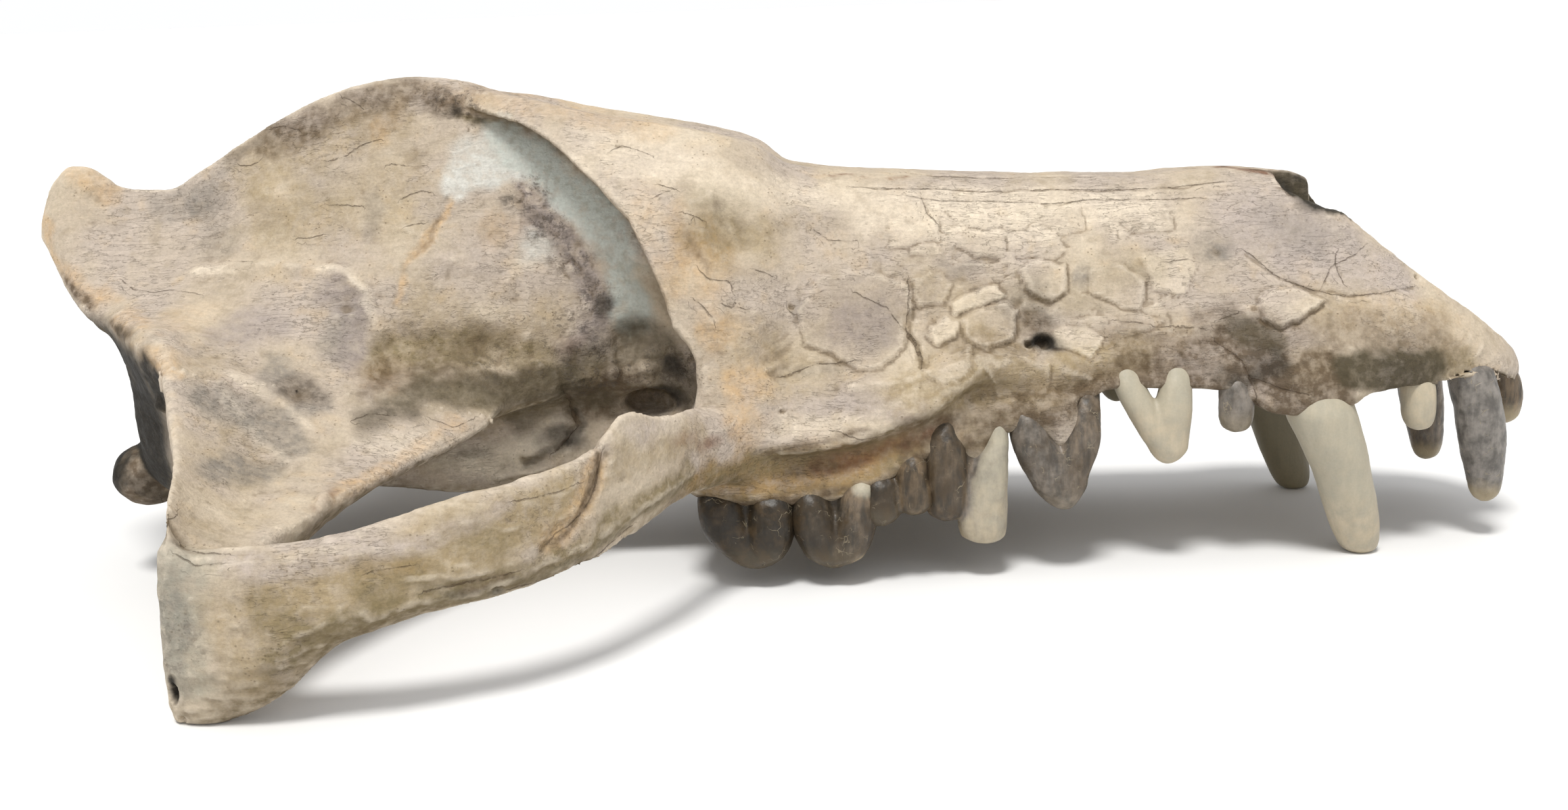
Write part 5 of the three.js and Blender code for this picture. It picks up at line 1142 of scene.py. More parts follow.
def off_path(q, path, reach):
    """Points within reach of a path, and how far they are from it."""
    path = np.array(path, float)
    at = np.nonzero(((q > path.min(0) - reach) & (q < path.max(0) + reach)).all(1))[0]
    far, p = np.full(len(at), 1e3), q[at]
    for a, b in zip(path[:-1], path[1:]):
        d = b - a
        t = np.clip((p - a) @ d / max(d @ d, 1e-9), 0, 1)
        far = np.minimum(far, np.linalg.norm(p - (a + t[:, None] * d), axis=1))
    return at, far


def outline_distance(x, z, corners):
    """Signed distance from a polygon, positive inside, and how much the nearest side faces down and forward."""
    c = np.array(corners, float)
    d = np.roll(c, -1, 0) - c
    turn = np.sign((c[:, 0] * d[:, 1] - c[:, 1] * d[:, 0]).sum())
    near, inside, faces = np.full(len(x), 1e6), np.zeros(len(x), bool), np.zeros(len(x))
    for (ax, az), (dx, dz) in zip(c, d):
        px, pz = x - ax, z - az
        t = np.clip((px * dx + pz * dz) / (dx * dx + dz * dz), 0, 1)
        far = (px - t * dx) ** 2 + (pz - t * dz) ** 2
        faces = np.where(far < near, turn * (0.9 * dx + 0.45 * dz) / np.hypot(dx, dz), faces)
        near = np.minimum(near, far)
        if dz:
            inside ^= ((az > z) != (az + dz > z)) & (px < pz * dx / dz)
    return np.where(inside, 1, -1) * np.sqrt(near), faces


def plates(q):
    """The plates broken off the snout's side: their height, how near their edges are, which are in shade."""
    p = warp(warp(q, 16, 2.2, 211), 5, 0.9, 201)
    height, edge, shade, tone = np.zeros(len(q)), np.full(len(q), 9.0), np.zeros(len(q)), np.zeros(len(q))
    for i, (rise, (front, up), corners) in enumerate(PLATES.values()):
        c = np.array(corners, float)
        at = np.nonzero((q[:, 1] > 18) & (q[:, 0] > c[:, 0].min() - 5) & (q[:, 0] < c[:, 0].max() + 5)
                        & (q[:, 2] > c[:, 1].min() - 5) & (q[:, 2] < c[:, 1].max() + 5))[0]
        far, faces = outline_distance(p[at, 0], p[at, 2], corners)
        far += 1.1
        middle = c.mean(0)
        lean = (q[at, 0] - middle[0]) * front + (q[at, 2] - middle[1]) * up
        on = step_up(far, -0.8, 0.8 + 2.2 * step_up(-faces, -0.2, 0.6))
        height[at] += on * (rise + lean)
        closer = np.abs(far) < np.abs(edge[at])
        shade[at] = np.where(closer, step_up(faces, -0.35, 0.45) * (0.3 + 0.22 * rise), shade[at])
        edge[at] = np.where(closer, far, edge[at])
        tone[at] += on * lattice(np.int64(i), np.int64(3), np.int64(1), 7)
    return height, edge, shade, tone


def crazing(q):
    """A finer net of splits between the plates: distance from the nearest, and where they are."""
    zone = (step_up(q[:, 0], 0, 50) * (1 - step_up(q[:, 0], 220, 256)) * step_up(q[:, 2], 44, 56)
            * (1 - step_up(q[:, 2], 116, 128)) * step_up(q[:, 1], 20, 34))
    w = warp(warp(q, 30, 7, 212), 8, 2.2, 202)
    u, v = w[:, 0] + 0.5 * w[:, 2], w[:, 2] - 0.3 * w[:, 0]
    edge, name, in_u, in_v = cells(u / 27, v / 15, 5)
    zone = zone * step_up(noise(q / 17, 62), -0.25, 0.4)
    level = np.abs(in_v) / (np.abs(in_u) + np.abs(in_v) + 1e-6)
    return edge * 20, zone * (0.2 + 0.8 * step_up(level, 0.4, 0.75)), zone, name, in_v


def ruggedness(q):
    out = np.zeros(len(q))
    for centre, rx, rz, much in RUGGED:
        c = np.array(centre, float)
        d2 = ((q[:, 0] - c[0]) / rx) ** 2 + ((q[:, 2] - c[2]) / rz) ** 2 + ((q[:, 1] - c[1]) / 40) ** 2
        out = np.maximum(out, much * np.clip(1.4 * (1 - d2), 0, 1))
    return out


def relief(points, normals):
    """How far each point of the bone moves along its normal, mm."""
    q, n = pattern_frame(points, normals)
    bent = warp(points, 34, 9, 12)
    out = 0.9 * fractal(points / 60, 2, 1) + 0.5 * fractal(bent / 16, 3, 4) + 0.16 * noise(points / 3.6, 9)
    # creased ground: ridges of folded noise, running a little up to the front
    run = np.stack([bent[:, 0] * 0.94 + bent[:, 2] * 0.34, bent[:, 1], bent[:, 2] * 0.94 - bent[:, 0] * 0.34], 1)
    fold = 1 - np.abs(noise(run / np.array([20, 12, 8.5]), 14)) * 2.2
    where = 0.35 + 0.65 * step_up(noise(points / 48, 15), -0.2, 0.5)
    out += where * (0.34 * np.clip(fold, -0.6, 1) + 0.22 * noise(run / np.array([9, 5, 3.4]), 16))
    wandering = warp(q, 10, 1.8, 18)
    for name, (width, height, path) in RELIEF_LINES.items():
        at, far, _ = beside(wandering, n, path, 3 * width)
        uneven = 0.85 + 0.45 * noise(q[at] / 13, 20)
        out[at] += height * uneven * np.exp(-((far / width) ** 2))
    for name, (height, centre, rx, rz) in RELIEF_SPOTS.items():
        c = np.array(centre, float)
        d2 = ((q[:, 0] - c[0]) / rx) ** 2 + ((q[:, 2] - c[2]) / rz) ** 2 + ((q[:, 1] - c[1]) / max(rx, rz, 14)) ** 2
        at = d2 < 1
        out[at] += height * (1 - d2[at]) ** 2
    height, edge, shade, tone = plates(q)
    out += height - 0.8 * shade * np.exp(-(((edge + 1.0) / 1.1) ** 2))
    split_far, split, zone, name, lean = crazing(q)
    free = 1 - step_up(edge, -1.5, 0.5)
    out += free * (zone * (0.3 * name + 1.1 * lean * step_up(split_far, 0, 1.5)) - 0.5 * split * np.exp(-((split_far / 1.1) ** 2)))
    rugged = ruggedness(q)
    at = rugged > 0
    out[at] += rugged[at] * 1.5 * (np.abs(fractal(points[at] / 8, 3, 30)) - 0.3) * 1.4
    # fibrous ground on the cheek arches
    arch = step_up(q[:, 1], 150, 190) * step_up(q[:, 0], -285, -250)
    at = arch > 0
    out[at] += arch[at] * (0.4 * noise(points[at] / np.array([30, 9, 4.5]), 40) + 0.3 * noise(points[at] / np.array([12, 6, 2.8]), 41))
    return out


def nose_edge(x):
    """Height of the broken top of the right wall of the nose."""
    return np.interp(x, *np.array(NOSE_BREAK).T) + 0.8 * lattice(np.floor(x / 2.3).astype(np.int64), np.int64(1), np.int64(5), 9)


def broken_nose(points):
    """The top of the nose's right wall is gone: what stood above the break lies on it."""
    out = points.copy()
    over = points[:, 2] - nose_edge(points[:, 0])
    at = (over > 0) & (np.abs(points[:, 0] - 301) < 25)
    out[at, 2] -= 0.93 * over[at] * step_up(-points[at, 1], 0.5, 5)
    return out


def smoothed(points, tris, rounds):
    e = np.concatenate([tris[:, [0, 1]], tris[:, [1, 2]], tris[:, [2, 0]]])
    degree = np.maximum(np.bincount(e[:, 0], minlength=len(points)), 1)[:, None]
    for _ in range(rounds):
        mean = np.stack([np.bincount(e[:, 0], points[e[:, 1], k], len(points)) for k in range(3)], 1) / degree
        points = points + 0.6 * (mean - points)
    return points


def masks(points, normals, tris):
    """The stains, painted shade and cracks at each point, by name."""
    q, n = pattern_frame(points, normals)
    loose = warp(warp(q, 42, 5, 95), 12, 3, 90)
    crumble = fractal(q / 11, 3, 97)
    out = {name: np.zeros(len(points)) for name in PALETTE if name != "bone"}

    def lay(name, at, m):
        out[name][at] = 1 - (1 - out[name][at]) * (1 - np.clip(m, 0, 1))

    for name, strength, centre, rx, rz in STAINS:
        c = np.array(centre, float)
        reach = 1.7 * max(rx, rz, 14)
        at = np.nonzero((np.abs(loose - c) < reach).all(1))[0]
        p = loose[at]
        d = np.sqrt(((p[:, 0] - c[0]) / rx) ** 2 + ((p[:, 2] - c[2]) / rz) ** 2
                    + ((p[:, 1] - c[1]) / max(0.8 * max(rx, rz), 16)) ** 2)
        lay(name, at, strength * (1 - step_up(d + 0.42 * crumble[at], 0.35, 1.25)))
    across = np.array([1, 0.55, 1])  # a path's stain reaches further into hollows than along the surface
    for name, strength, width, path in STAIN_BANDS:
        at, far = off_path(loose * across, np.array(path) * across, 1.6 * width)
        lay(name, at, strength * (1 - step_up(far / width + 0.45 * crumble[at], 0.45, 1.3)))
    # painted shade: the back of the skull, from the nuchal crest to the condyles, is painted almost black where it
    # turns backward, away from the light
    back = (step_up(-n[:, 0] - 0.2 * n[:, 1], 0.1, 0.5) * step_up(-q[:, 0], 328, 345) * (1 - step_up(q[:, 2] + 8 * crumble, 42, 72))
            * (1 - step_up(q[:, 1] + 14 * crumble, 96, 136)) * step_up(q[:, 2] + 10 * crumble, -56, -32))
    lay("moss", slice(None), 0.9 * back)
    lay("dark", slice(None), 1.05 * back * (1 + 0.35 * crumble))
    knob = 1 - step_up(np.linalg.norm((loose - np.array(CONDYLE["centre"])) / 27, axis=1), 0.75, 1.1)
    lay("umber", slice(None), 0.85 * knob)
    lay("dark", slice(None), 0.5 * knob * step_up(crumble, -0.1, 0.3))
    # painted shade: the shelf and inner wall left where the nose's right wall broke off are painted dark, as the shaded
    # inside of the nose
    x, y, z = points.T
    within = step_up(x, 278, 284) * (1 - step_up(x, 319, 324))
    bare_edge = step_up(z - nose_edge(x), -1.6, 0.2) * step_up(-y, -1, 2) * step_up(normals[:, 2] - normals[:, 1], 0.2, 0.8)
    inner = step_up(z, 96, 108) * step_up(-normals[:, 1], 0.2, 0.6) * step_up(y, -8, 0) * (1 - step_up(z, 136, 139))
    lay("moss", slice(None), within * np.maximum(bare_edge, inner))
    lay("dark", slice(None), 0.8 * within * np.maximum(bare_edge * (1 - step_up(z - nose_edge(x), 3, 8)), inner) * step_up(crumble, -0.4, 0.3))
    lay("red", slice(None), 0.8 * bare_edge * step_up(x, 276, 280) * (1 - step_up(x, 284, 292)))
    for k, layer in enumerate(CRACKS):
        signed, near = np.full(len(points), 5.0), np.zeros(len(points))
        for path in layer:
            at, far, side = beside(q, n, path, 7)
            better = far < np.abs(signed[at])
            at, far, side = at[better], far[better], side[better]
            signed[at] = far * side
            near[at] = 1 - step_up(far, 2.5, 5)
        out[f"crack_{k}"], out[f"crack_near_{k}"] = signed, near
    height, edge, shade, tone = plates(q)
    split_far, split, zone, name, lean = crazing(q)
    free = 1 - step_up(edge, -1.5, 0.5)
    uneven = 0.55 + 0.45 * step_up(noise(q / 11, 63), -0.4, 0.3)
    # painted shadow along the plate edges that face down and forward, with the dark splits between plates
    out["plate"] = np.clip(np.maximum(uneven * shade * np.exp(-(((edge + 1.1) / 1.1) ** 2)),
                                      0.55 * split * free * np.exp(-((split_far / 0.9) ** 2))), 0, 1)
    out["plate_tone"] = np.clip(0.8 * tone + 0.4 * free * zone * name, -1, 1)
    out["rugged"] = ruggedness(loose)
    out["tint_1"] = 0.5 + 0.5 * fractal(warp(points, 40, 14, 101) / 38, 4, 102)
    out["tint_2"] = 0.5 + 0.5 * fractal(warp(points, 14, 5, 104) / 10, 3, 105)
    fine = ((points - smoothed(points, tris, 3)) * normals).sum(1)
    broad = ((points - smoothed(points, tris, 30)) * normals).sum(1)
    out["worn"] = np.clip(fine / 0.35, -1, 1)
    out["cavity"] = np.clip(broad / 2.2, -1, 1)
    # painted shade: how much each point faces downward, for darkening the undersides
    out["under"] = step_up(-normals[:, 2], 0.02, 0.7)
    return out


# Rough, pitted ground: centre (x, w, z), radii along and up, how much.
RUGGED = [
    ((-185, 14, 178), 22, 12, 1.0),
    ((-142, 31, 130), 15, 16, 1.0),
    ((-134, 35, 111), 17, 16, 1.0),
    ((-120, 39, 92), 18, 14, 0.9),
    ((-106, 44, 70), 19, 14, 0.9),
    ((-120, 52, 60), 22, 10, 0.8),
    ((-60, 50, 36), 30, 14, 0.9),
    ((-280, 268, -48), 34, 44, 0.5),
    ((-104, 54, 34), 36, 22, 1.0),
    ((-66, 34, 24), 26, 22, 0.9),
    ((-150, 60, 40), 42, 18, 0.7),
]


# ------------------------------------------------------------------ materials


def linear(rgb):
    return [(c / 255 / 12.92 if c / 255 <= 0.04045 else ((c / 255 + 0.055) / 1.055) ** 2.4) for c in rgb] + [1.0]


class Shader:
    """A few words for building a node tree; sizes are in millimetres."""

    def __init__(self, name):
        self.material = bpy.data.materials.new(name)
        self.material.use_nodes = True
        self.tree = self.material.node_tree
        self.tree.nodes.clear()
        self.out = self.new("ShaderNodeOutputMaterial")
        self.bsdf = self.new("ShaderNodeBsdfPrincipled")
        self.link(self.bsdf.outputs["BSDF"], self.out.inputs["Surface"])
        place = self.new("ShaderNodeTexCoord").outputs["Object"]
        scale = self.new("ShaderNodeVectorMath")
        scale.operation = "SCALE"
        scale.inputs["Scale"].default_value = 1000
        self.link(place, scale.inputs[0])
        self.place = scale.outputs[0]

    def new(self, kind):
        return self.tree.nodes.new(kind)

    def link(self, a, b):
        self.tree.links.new(a, b)

    def put(self, value, socket):
        if isinstance(value, bpy.types.NodeSocket):
            self.link(value, socket)
        else:
            socket.default_value = value

    def attribute(self, name):
        n = self.new("ShaderNodeAttribute")
        n.attribute_name = name
        return n.outputs["Fac"]

    def stretch(self, factors, vector=None):
        n = self.new("ShaderNodeVectorMath")
        n.operation = "MULTIPLY"
        self.link(vector or self.place, n.inputs[0])
        n.inputs[1].default_value = factors
        return n.outputs[0]

    def noise(self, size, detail=4, rough=0.55, vector=None, distortion=0.0):
        n = self.new("ShaderNodeTexNoise")
        self.link(vector or self.place, n.inputs["Vector"])
        n.inputs["Scale"].default_value = 1 / size
        n.inputs["Detail"].default_value = detail
        n.inputs["Roughness"].default_value = rough
        n.inputs["Distortion"].default_value = distortion
        return n.outputs["Fac"]

    def voronoi(self, size, feature="F1", vector=None, output="Distance"):
        n = self.new("ShaderNodeTexVoronoi")
        n.feature = feature
        self.link(vector or self.place, n.inputs["Vector"])
        n.inputs["Scale"].default_value = 1 / size
        return n.outputs[output]

    def math(self, operation, a, b=0.0, clamp=False):
        n = self.new("ShaderNodeMath")
        n.operation = operation
        n.use_clamp = clamp
        self.put(a, n.inputs[0])
        self.put(b, n.inputs[1])
        return n.outputs[0]

    def fade(self, value, low, high, start=0.0, end=1.0):
        n = self.new("ShaderNodeMapRange")
        n.interpolation_type = "SMOOTHSTEP"
        self.put(value, n.inputs["Value"])
        for key, v in (("From Min", low), ("From Max", high), ("To Min", start), ("To Max", end)):
            n.inputs[key].default_value = v
        return n.outputs["Result"]

    def mix(self, factor, a, b, blend="MIX"):
        n = self.new("ShaderNodeMix")
        n.data_type = "RGBA"
        n.blend_type = blend
        self.put(factor, n.inputs["Factor"])
        self.put(a, n.inputs[6])
        self.put(b, n.inputs[7])
        return n.outputs[2]

    def colour_noise(self, size, detail=3, rough=0.55, vector=None):
        """Three noises for the price of one node."""
        n = self.new("ShaderNodeTexNoise")
        self.link(vector or self.place, n.inputs["Vector"])
        n.inputs["Scale"].default_value = 1 / size
        n.inputs["Detail"].default_value = detail
        n.inputs["Roughness"].default_value = rough
        parts = self.new("ShaderNodeSeparateColor")
        self.link(n.outputs["Color"], parts.inputs[0])
        return parts.outputs[0], parts.outputs[1], parts.outputs[2]

    def times(self, *factors):
        out = factors[0]
        for f in factors[1:]:
            out = self.math("MULTIPLY", out, f)
        return out

    def plus(self, a, b, much):
        """a + much * (b - 1/2), for a noise b."""
        n = self.new("ShaderNodeMath")
        n.operation = "MULTIPLY_ADD"
        self.link(b, n.inputs[0])
        n.inputs[1].default_value = much
        if isinstance(a, float):
            n.inputs[2].default_value = a - much / 2
        else:
            self.link(self.math("SUBTRACT", a, much / 2), n.inputs[2])
        return n.outputs[0]


def bone_material():
    s = Shader("fossil_bone")
    mid, mid_2, mid_3 = s.colour_noise(5.5, 4, 0.6)
    grain = s.noise(1.6, 3, 0.6)
    fibre = s.noise(3.0, 3, 0.6, vector=s.stretch((0.2, 1, 1)))
    tint_1, tint_2 = s.attribute("tint_1"), s.attribute("tint_2")
    colour = s.mix(s.fade(tint_1, 0.3, 0.75, 0, 0.6), linear(PALETTE["bone"]), linear(PALETTE["lilac"]))
    colour = s.mix(s.fade(s.plus(tint_2, mid, 0.5), 0.55, 0.95, 0, 0.4), colour, linear((196, 172, 138)))
    colour = s.mix(s.fade(s.plus(tint_1, mid_2, 0.5), 0.45, 0.1, 0, 0.5), colour, linear((212, 198, 176)))
    colour = s.mix(s.fade(s.plus(tint_2, mid_3, 0.7), 0.42, 0.1, 0, 0.42), colour, linear((150, 135, 112)))
    vary = {0: s.fade(mid, 0.3, 0.7, 0.55, 1.2), 1: s.fade(mid_2, 0.3, 0.7, 0.55, 1.2), 2: s.fade(mid_3, 0.3, 0.7, 0.55, 1.2)}
    stains = {"tan": 0.9, "lilac": 0.7, "pale": 0.75, "ochre": 0.75, "gold": 0.9, "olive": 0.85, "grey": 0.85, "slate": 0.85, "purple": 0.92,
              "plaster": 0.97, "cast": 0.97, "red": 0.85}
    for i, (name, most) in enumerate(stains.items()):
        m = s.math("MULTIPLY", s.attribute(name), vary[i % 3], True)
        colour = s.mix(s.times(m, most), colour, linear(PALETTE[name]))
    # darker in broad hollows and fine creases, painted shade on the faces that turn downward, wear on the edges
    cavity, worn, under = s.attribute("cavity"), s.attribute("worn"), s.attribute("under")
    low = s.times(s.fade(cavity, 0.0, -0.9), vary[0])
    colour = s.mix(s.times(low, 0.5), colour, linear((118, 102, 74)))
    # painted shade on the faces that turn downward
    colour = s.mix(s.times(under, vary[1], 0.85), colour, linear((100, 86, 60)))
    colour = s.mix(s.fade(s.plus(worn, mid, 0.4), 0.15, 0.95, 0, 0.34), colour, linear((222, 209, 190)))
    crease = s.fade(s.plus(worn, mid_2, 0.4), -0.18, -0.85)
    colour = s.mix(s.times(crease, 0.42), colour, linear((100, 83, 60)))
    deep = {0: vary[0], 1: s.fade(mid_2, 0.3, 0.7, 0.8, 1.15), 2: s.fade(mid_3, 0.3, 0.7, 0.9, 1.12)}
    for i, (name, most) in enumerate({"umber": 0.88, "moss": 0.94, "dark": 0.97}.items()):
        m = s.math("MULTIPLY", s.attribute(name), deep[i], True)
        colour = s.mix(s.times(m, most), colour, linear(PALETTE[name]))
    # broken plates, each with its own tone
    tone = s.attribute("plate_tone")
    colour = s.mix(s.fade(tone, 0.0, 0.9, 0, 0.4), colour, linear((226, 211, 186)))
    colour = s.mix(s.fade(tone, 0.0, -0.9, 0, 0.3), colour, linear((160, 145, 124)))
    # painted shadow on the plate edges, with the dark splits
    colour = s.mix(s.times(s.attribute("plate"), vary[0], 0.55), colour, linear((100, 82, 60)))
    bare = s.math("SUBTRACT", 1.0, s.math("ADD", s.attribute("plaster"), s.attribute("cast")), True)
    # rugose ground is peppered dark
    rugged = s.attribute("rugged")
    pepper = s.times(rugged, s.fade(s.plus(grain, mid_3, 1.0), 0.52, 0.68))
    colour = s.mix(s.times(pepper, 0.62), colour, linear((74, 66, 58)))
    # pores, gathered in places
    holes = s.voronoi(2.6)
    pores = s.times(s.fade(holes, 0.24, 0.1), s.fade(s.plus(tint_2, mid, 0.6), 0.6, 0.72), bare)
    colour = s.mix(s.times(pores, 0.42), colour, linear((104, 88, 66)))
    # hairline splits, where the fibres' noise crosses its middle
    hair = s.times(s.fade(s.math("ABSOLUTE", s.math("SUBTRACT", fibre, 0.5)), 0.014, 0.003), s.fade(s.plus(tint_1, mid_3, 0.9), 0.46, 0.7), bare)
    colour = s.mix(s.times(hair, 0.28), colour, linear((104, 88, 66)))
    # fine grain and fibres
    shade = s.plus(s.plus(s.plus(1.0, grain, 0.5), fibre, 0.3), mid_2, 0.34)
    n = s.new("ShaderNodeVectorMath")
    n.operation = "SCALE"
    s.link(colour, n.inputs[0])
    s.link(shade, n.inputs["Scale"])
    colour = n.outputs[0]
    # cracks
    wobble = s.plus(s.times(s.math("SUBTRACT", mid, 0.5), 2.2), grain, 0.9)
    height = s.times(grain, 0.3)
    broken = s.fade(mid_3, 0.36, 0.56, 0.15, 1.0)
    for k in range(len(CRACKS)):
        away = s.math("ABSOLUTE", s.math("ADD", s.attribute(f"crack_{k}"), wobble))
        line_mask = s.times(s.fade(away, 0.5, 0.1), s.attribute(f"crack_near_{k}"), broken)
        colour = s.mix(s.times(line_mask, 0.52), colour, linear((84, 66, 48)))
        height = s.math("SUBTRACT", height, s.times(line_mask, 0.9))
    height = s.math("SUBTRACT", height, s.times(pores, 0.3))
    height = s.math("SUBTRACT", height, s.times(hair, 0.35))
    height = s.math("ADD", height, s.times(mid, 1.1))
    height = s.math("ADD", height, s.times(fibre, 0.6))
    height = s.math("ADD", height, s.times(rugged, mid_3, 2.4))
    bump = s.new("ShaderNodeBump")
    bump.inputs["Strength"].default_value = 0.85
    bump.inputs["Distance"].default_value = 0.0011
    s.link(height, bump.inputs["Height"])
    s.link(bump.outputs[0], s.bsdf.inputs["Normal"])
    s.link(colour, s.bsdf.inputs["Base Color"])
    s.link(s.fade(mid, 0.3, 0.7, 0.68, 0.86), s.bsdf.inputs["Roughness"])
    s.bsdf.inputs["Specular IOR Level"].default_value = 0.3
    return s.material


def warped(s, size, amount):
    """The place, pushed about by noise."""
    n = s.new("ShaderNodeTexNoise")
    s.link(s.place, n.inputs["Vector"])
    n.inputs["Scale"].default_value = 1 / size
    n.inputs["Detail"].default_value = 2
    m = s.new("ShaderNodeVectorMath")
    m.operation = "MULTIPLY_ADD"
    s.link(n.outputs["Color"], m.inputs[0])
    m.inputs[1].default_value = (amount, amount, amount)
    s.link(s.place, m.inputs[2])
    return m.outputs[0]


# ------------------------------------------------------------------ teeth
# How each tooth's lobes look: 0 cream plaster to 1 near-black, then how brown (0) or grey (1).
TOOTH_TONES = {
    "incisor_1": [(0.62, 0.1)], "incisor_2": [(0.66, 1.0)], "incisor_3": [(0.0, 0.3)],
    "premolar_1": [(0.74, 0.8)], "premolar_2": [(0.0, 0.2), (0.0, 0.2)], "premolar_3": [(0.8, 0.7), (0.78, 0.4)],
    "premolar_4": [(0.86, 0.2), (0.95, 0.2), (0.27, 0.9)], "molar_1": [(0.82, 0.1), (0.95, 0.1)],
    "molar_2": [(0.9, 0.3), (0.95, 0.2), (0.12, 0.2), (1.0, 0.2)], "molar_3": [(1.0, 0.2), (1.0, 0.2), (1.0, 0.2)],
}


def lobe_value(rows, x, w, z):
    """Roughly how far points are outside a stack of ellipses, mm."""
    c = line(rows[::-1], z.ravel()).astype(np.float32).reshape(z.shape + (4,))
    value = (np.sqrt(((x - c[..., 0]) / c[..., 2]) ** 2 + ((w - c[..., 1]) / c[..., 3]) ** 2) - 1)
    return value * np.minimum(c[..., 2], c[..., 3])


def tooth_net(lobes, step, blend=2.5, cap=5):
    rows = np.concatenate([np.array(r, float) for r in lobes])
    low = [(rows[:, 1] - rows[:, 3]).min() - 3, (rows[:, 2] - rows[:, 4]).min() - 3, rows[:, 0].min() - 3]
    high = [(rows[:, 1] + rows[:, 3]).max() + 3, (rows[:, 2] + rows[:, 4]).max() + 3, rows[:, 0].max() + 3]
    g = Grid(low, high, step, False)
    field = None
    for r in lobes:
        f = lobe_value(r, g.X, g.W, np.broadcast_to(g.Z, g.shape))
        f = smooth_max(f, r[-1][0] - g.Z, cap)
        f = smooth_max(f, g.Z - r[0][0], 3)
        field = f if field is None else smooth_min(field, f, blend)
    slope = np.sqrt(sum(d * d for d in np.gradient(field, step)))
    return g.mesh(field / np.clip(slope, 0.6, 3))


def tooth_relief(points, strength, seed):
    up = points / np.array([5.5, 5.5, 16])
    out = strength * (0.35 * fractal(up, 3, seed) + 0.45 * noise(points / 9, seed + 3) + 0.12 * noise(points / 2.2, seed + 5))
    return out


def tooth_part(lobes, tones, step, strength, seed):
    p, quads = tooth_net(lobes, step)
    p = relax(p, quads, 2)
    t = triangles_of(p, quads)
    n = vertex_normals(p, t)
    p = p + n * tooth_relief(p, strength, seed)[:, None]
    p[:, 1] *= -1  # the stacks are written with the distance from the midplane
    t = t[:, ::-1]
    values = np.stack([lobe_value(r, p[:, 0], -p[:, 1], p[:, 2]) for r in lobes], 1)
    weight = np.exp(-np.clip(values, -20, 20) / 1.6)
    weight /= weight.sum(1, keepdims=True)
    tone = weight @ np.array(tones, float)
    depth = (p[:, 2] - min(r[-1][0] for r in lobes))
    return p, t, tone[:, 0], tone[:, 1], depth


def joined(parts):
    points, tris, rest, base = [], [], [[] for _ in parts[0][2:]], 0
    for part in parts:
        points.append(part[0])
        tris.append(part[1] + base)
        base += len(part[0])
        for store, values in zip(rest, part[2:]):
            store.append(values)
    return [np.concatenate(points), np.concatenate(tris)] + [np.concatenate(r) for r in rest]


def tooth_material():
    """Cream casts and stained enamel read the same masks; far marks the teeth on the side away from the light, which
    get painted shade.
    """
    s = Shader("fossil_teeth")
    tone, grey, height_up, far = s.attribute("tone"), s.attribute("greyness"), s.attribute("tip"), s.attribute("far")
    cloud, cloud_2, edge = s.colour_noise(8, 4, 0.6)
    streak = s.noise(4.0, 4, 0.6, vector=s.stretch((1, 1, 0.22)))
    grain = s.noise(1.3, 3, 0.6)
    cream = s.mix(s.fade(cloud, 0.3, 0.75), linear((184, 171, 147)), linear((168, 160, 142)))
    cream = s.mix(s.fade(streak, 0.45, 0.8, 0, 0.35), cream, linear((200, 186, 162)))
    cream = s.mix(s.fade(streak, 0.45, 0.2, 0, 0.3), cream, linear((160, 150, 128)))
    cream = s.mix(s.fade(s.plus(height_up, edge, 12.0), 20, 44, 0, 0.55), cream, linear((168, 163, 146)))
    # painted shade on the teeth of the far side
    cream = s.mix(s.times(far, 0.85), cream, linear((112, 103, 78)))
    brown = s.mix(s.fade(streak, 0.3, 0.7), linear((56, 48, 36)), linear((122, 101, 74)))
    slate = s.mix(s.fade(s.plus(cloud_2, streak, 0.5), 0.3, 0.7), linear((90, 86, 81)), linear((138, 132, 125)))
    stained = s.mix(grey, brown, slate)
    black = s.mix(s.fade(edge, 0.35, 0.7), linear((28, 25, 19)), linear((68, 55, 38)))
    dark = s.mix(s.fade(s.plus(tone, edge, 0.5), 0.68, 1.02), stained, black)
    amount = s.fade(s.plus(tone, edge, 0.3), 0.2, 0.5)
    colour = s.mix(amount, cream, dark)
    # a few pale cracks in the stained teeth
    chips = s.fade(s.voronoi(13, "DISTANCE_TO_EDGE", vector=warped(s, 6, 8)), 0.02, 0.004)
    chips = s.times(chips, s.fade(cloud, 0.5, 0.62), amount)
    colour = s.mix(s.times(chips, 0.45), colour, linear((176, 162, 134)))
    # tips are worn pale brown
    worn = s.times(s.fade(s.plus(height_up, edge, 10.0), 17, 5), amount, s.fade(tone, 0.77, 0.68, 0.15, 0.85))
    colour = s.mix(worn, colour, linear((160, 145, 116)))
    shade = s.plus(s.plus(1.0, grain, 0.18), streak, 0.16)
    n = s.new("ShaderNodeVectorMath")
    n.operation = "SCALE"
    s.link(colour, n.inputs[0])
    s.link(shade, n.inputs["Scale"])
    height = s.math("ADD", s.times(grain, 0.15), s.times(streak, 0.4))
    height = s.math("ADD", height, s.times(edge, amount, 0.9))
    height = s.math("SUBTRACT", height, s.times(chips, 0.5))
    bump = s.new("ShaderNodeBump")
    bump.inputs["Strength"].default_value = 0.6
    bump.inputs["Distance"].default_value = 0.0009
    s.link(height, bump.inputs["Height"])
    s.link(bump.outputs[0], s.bsdf.inputs["Normal"])
    s.link(n.outputs[0], s.bsdf.inputs["Base Color"])
    s.link(s.fade(amount, 0.0, 1.0, 0.52, 0.42), s.bsdf.inputs["Roughness"])
    s.bsdf.inputs["Specular IOR Level"].default_value = 0.42
    return s.material




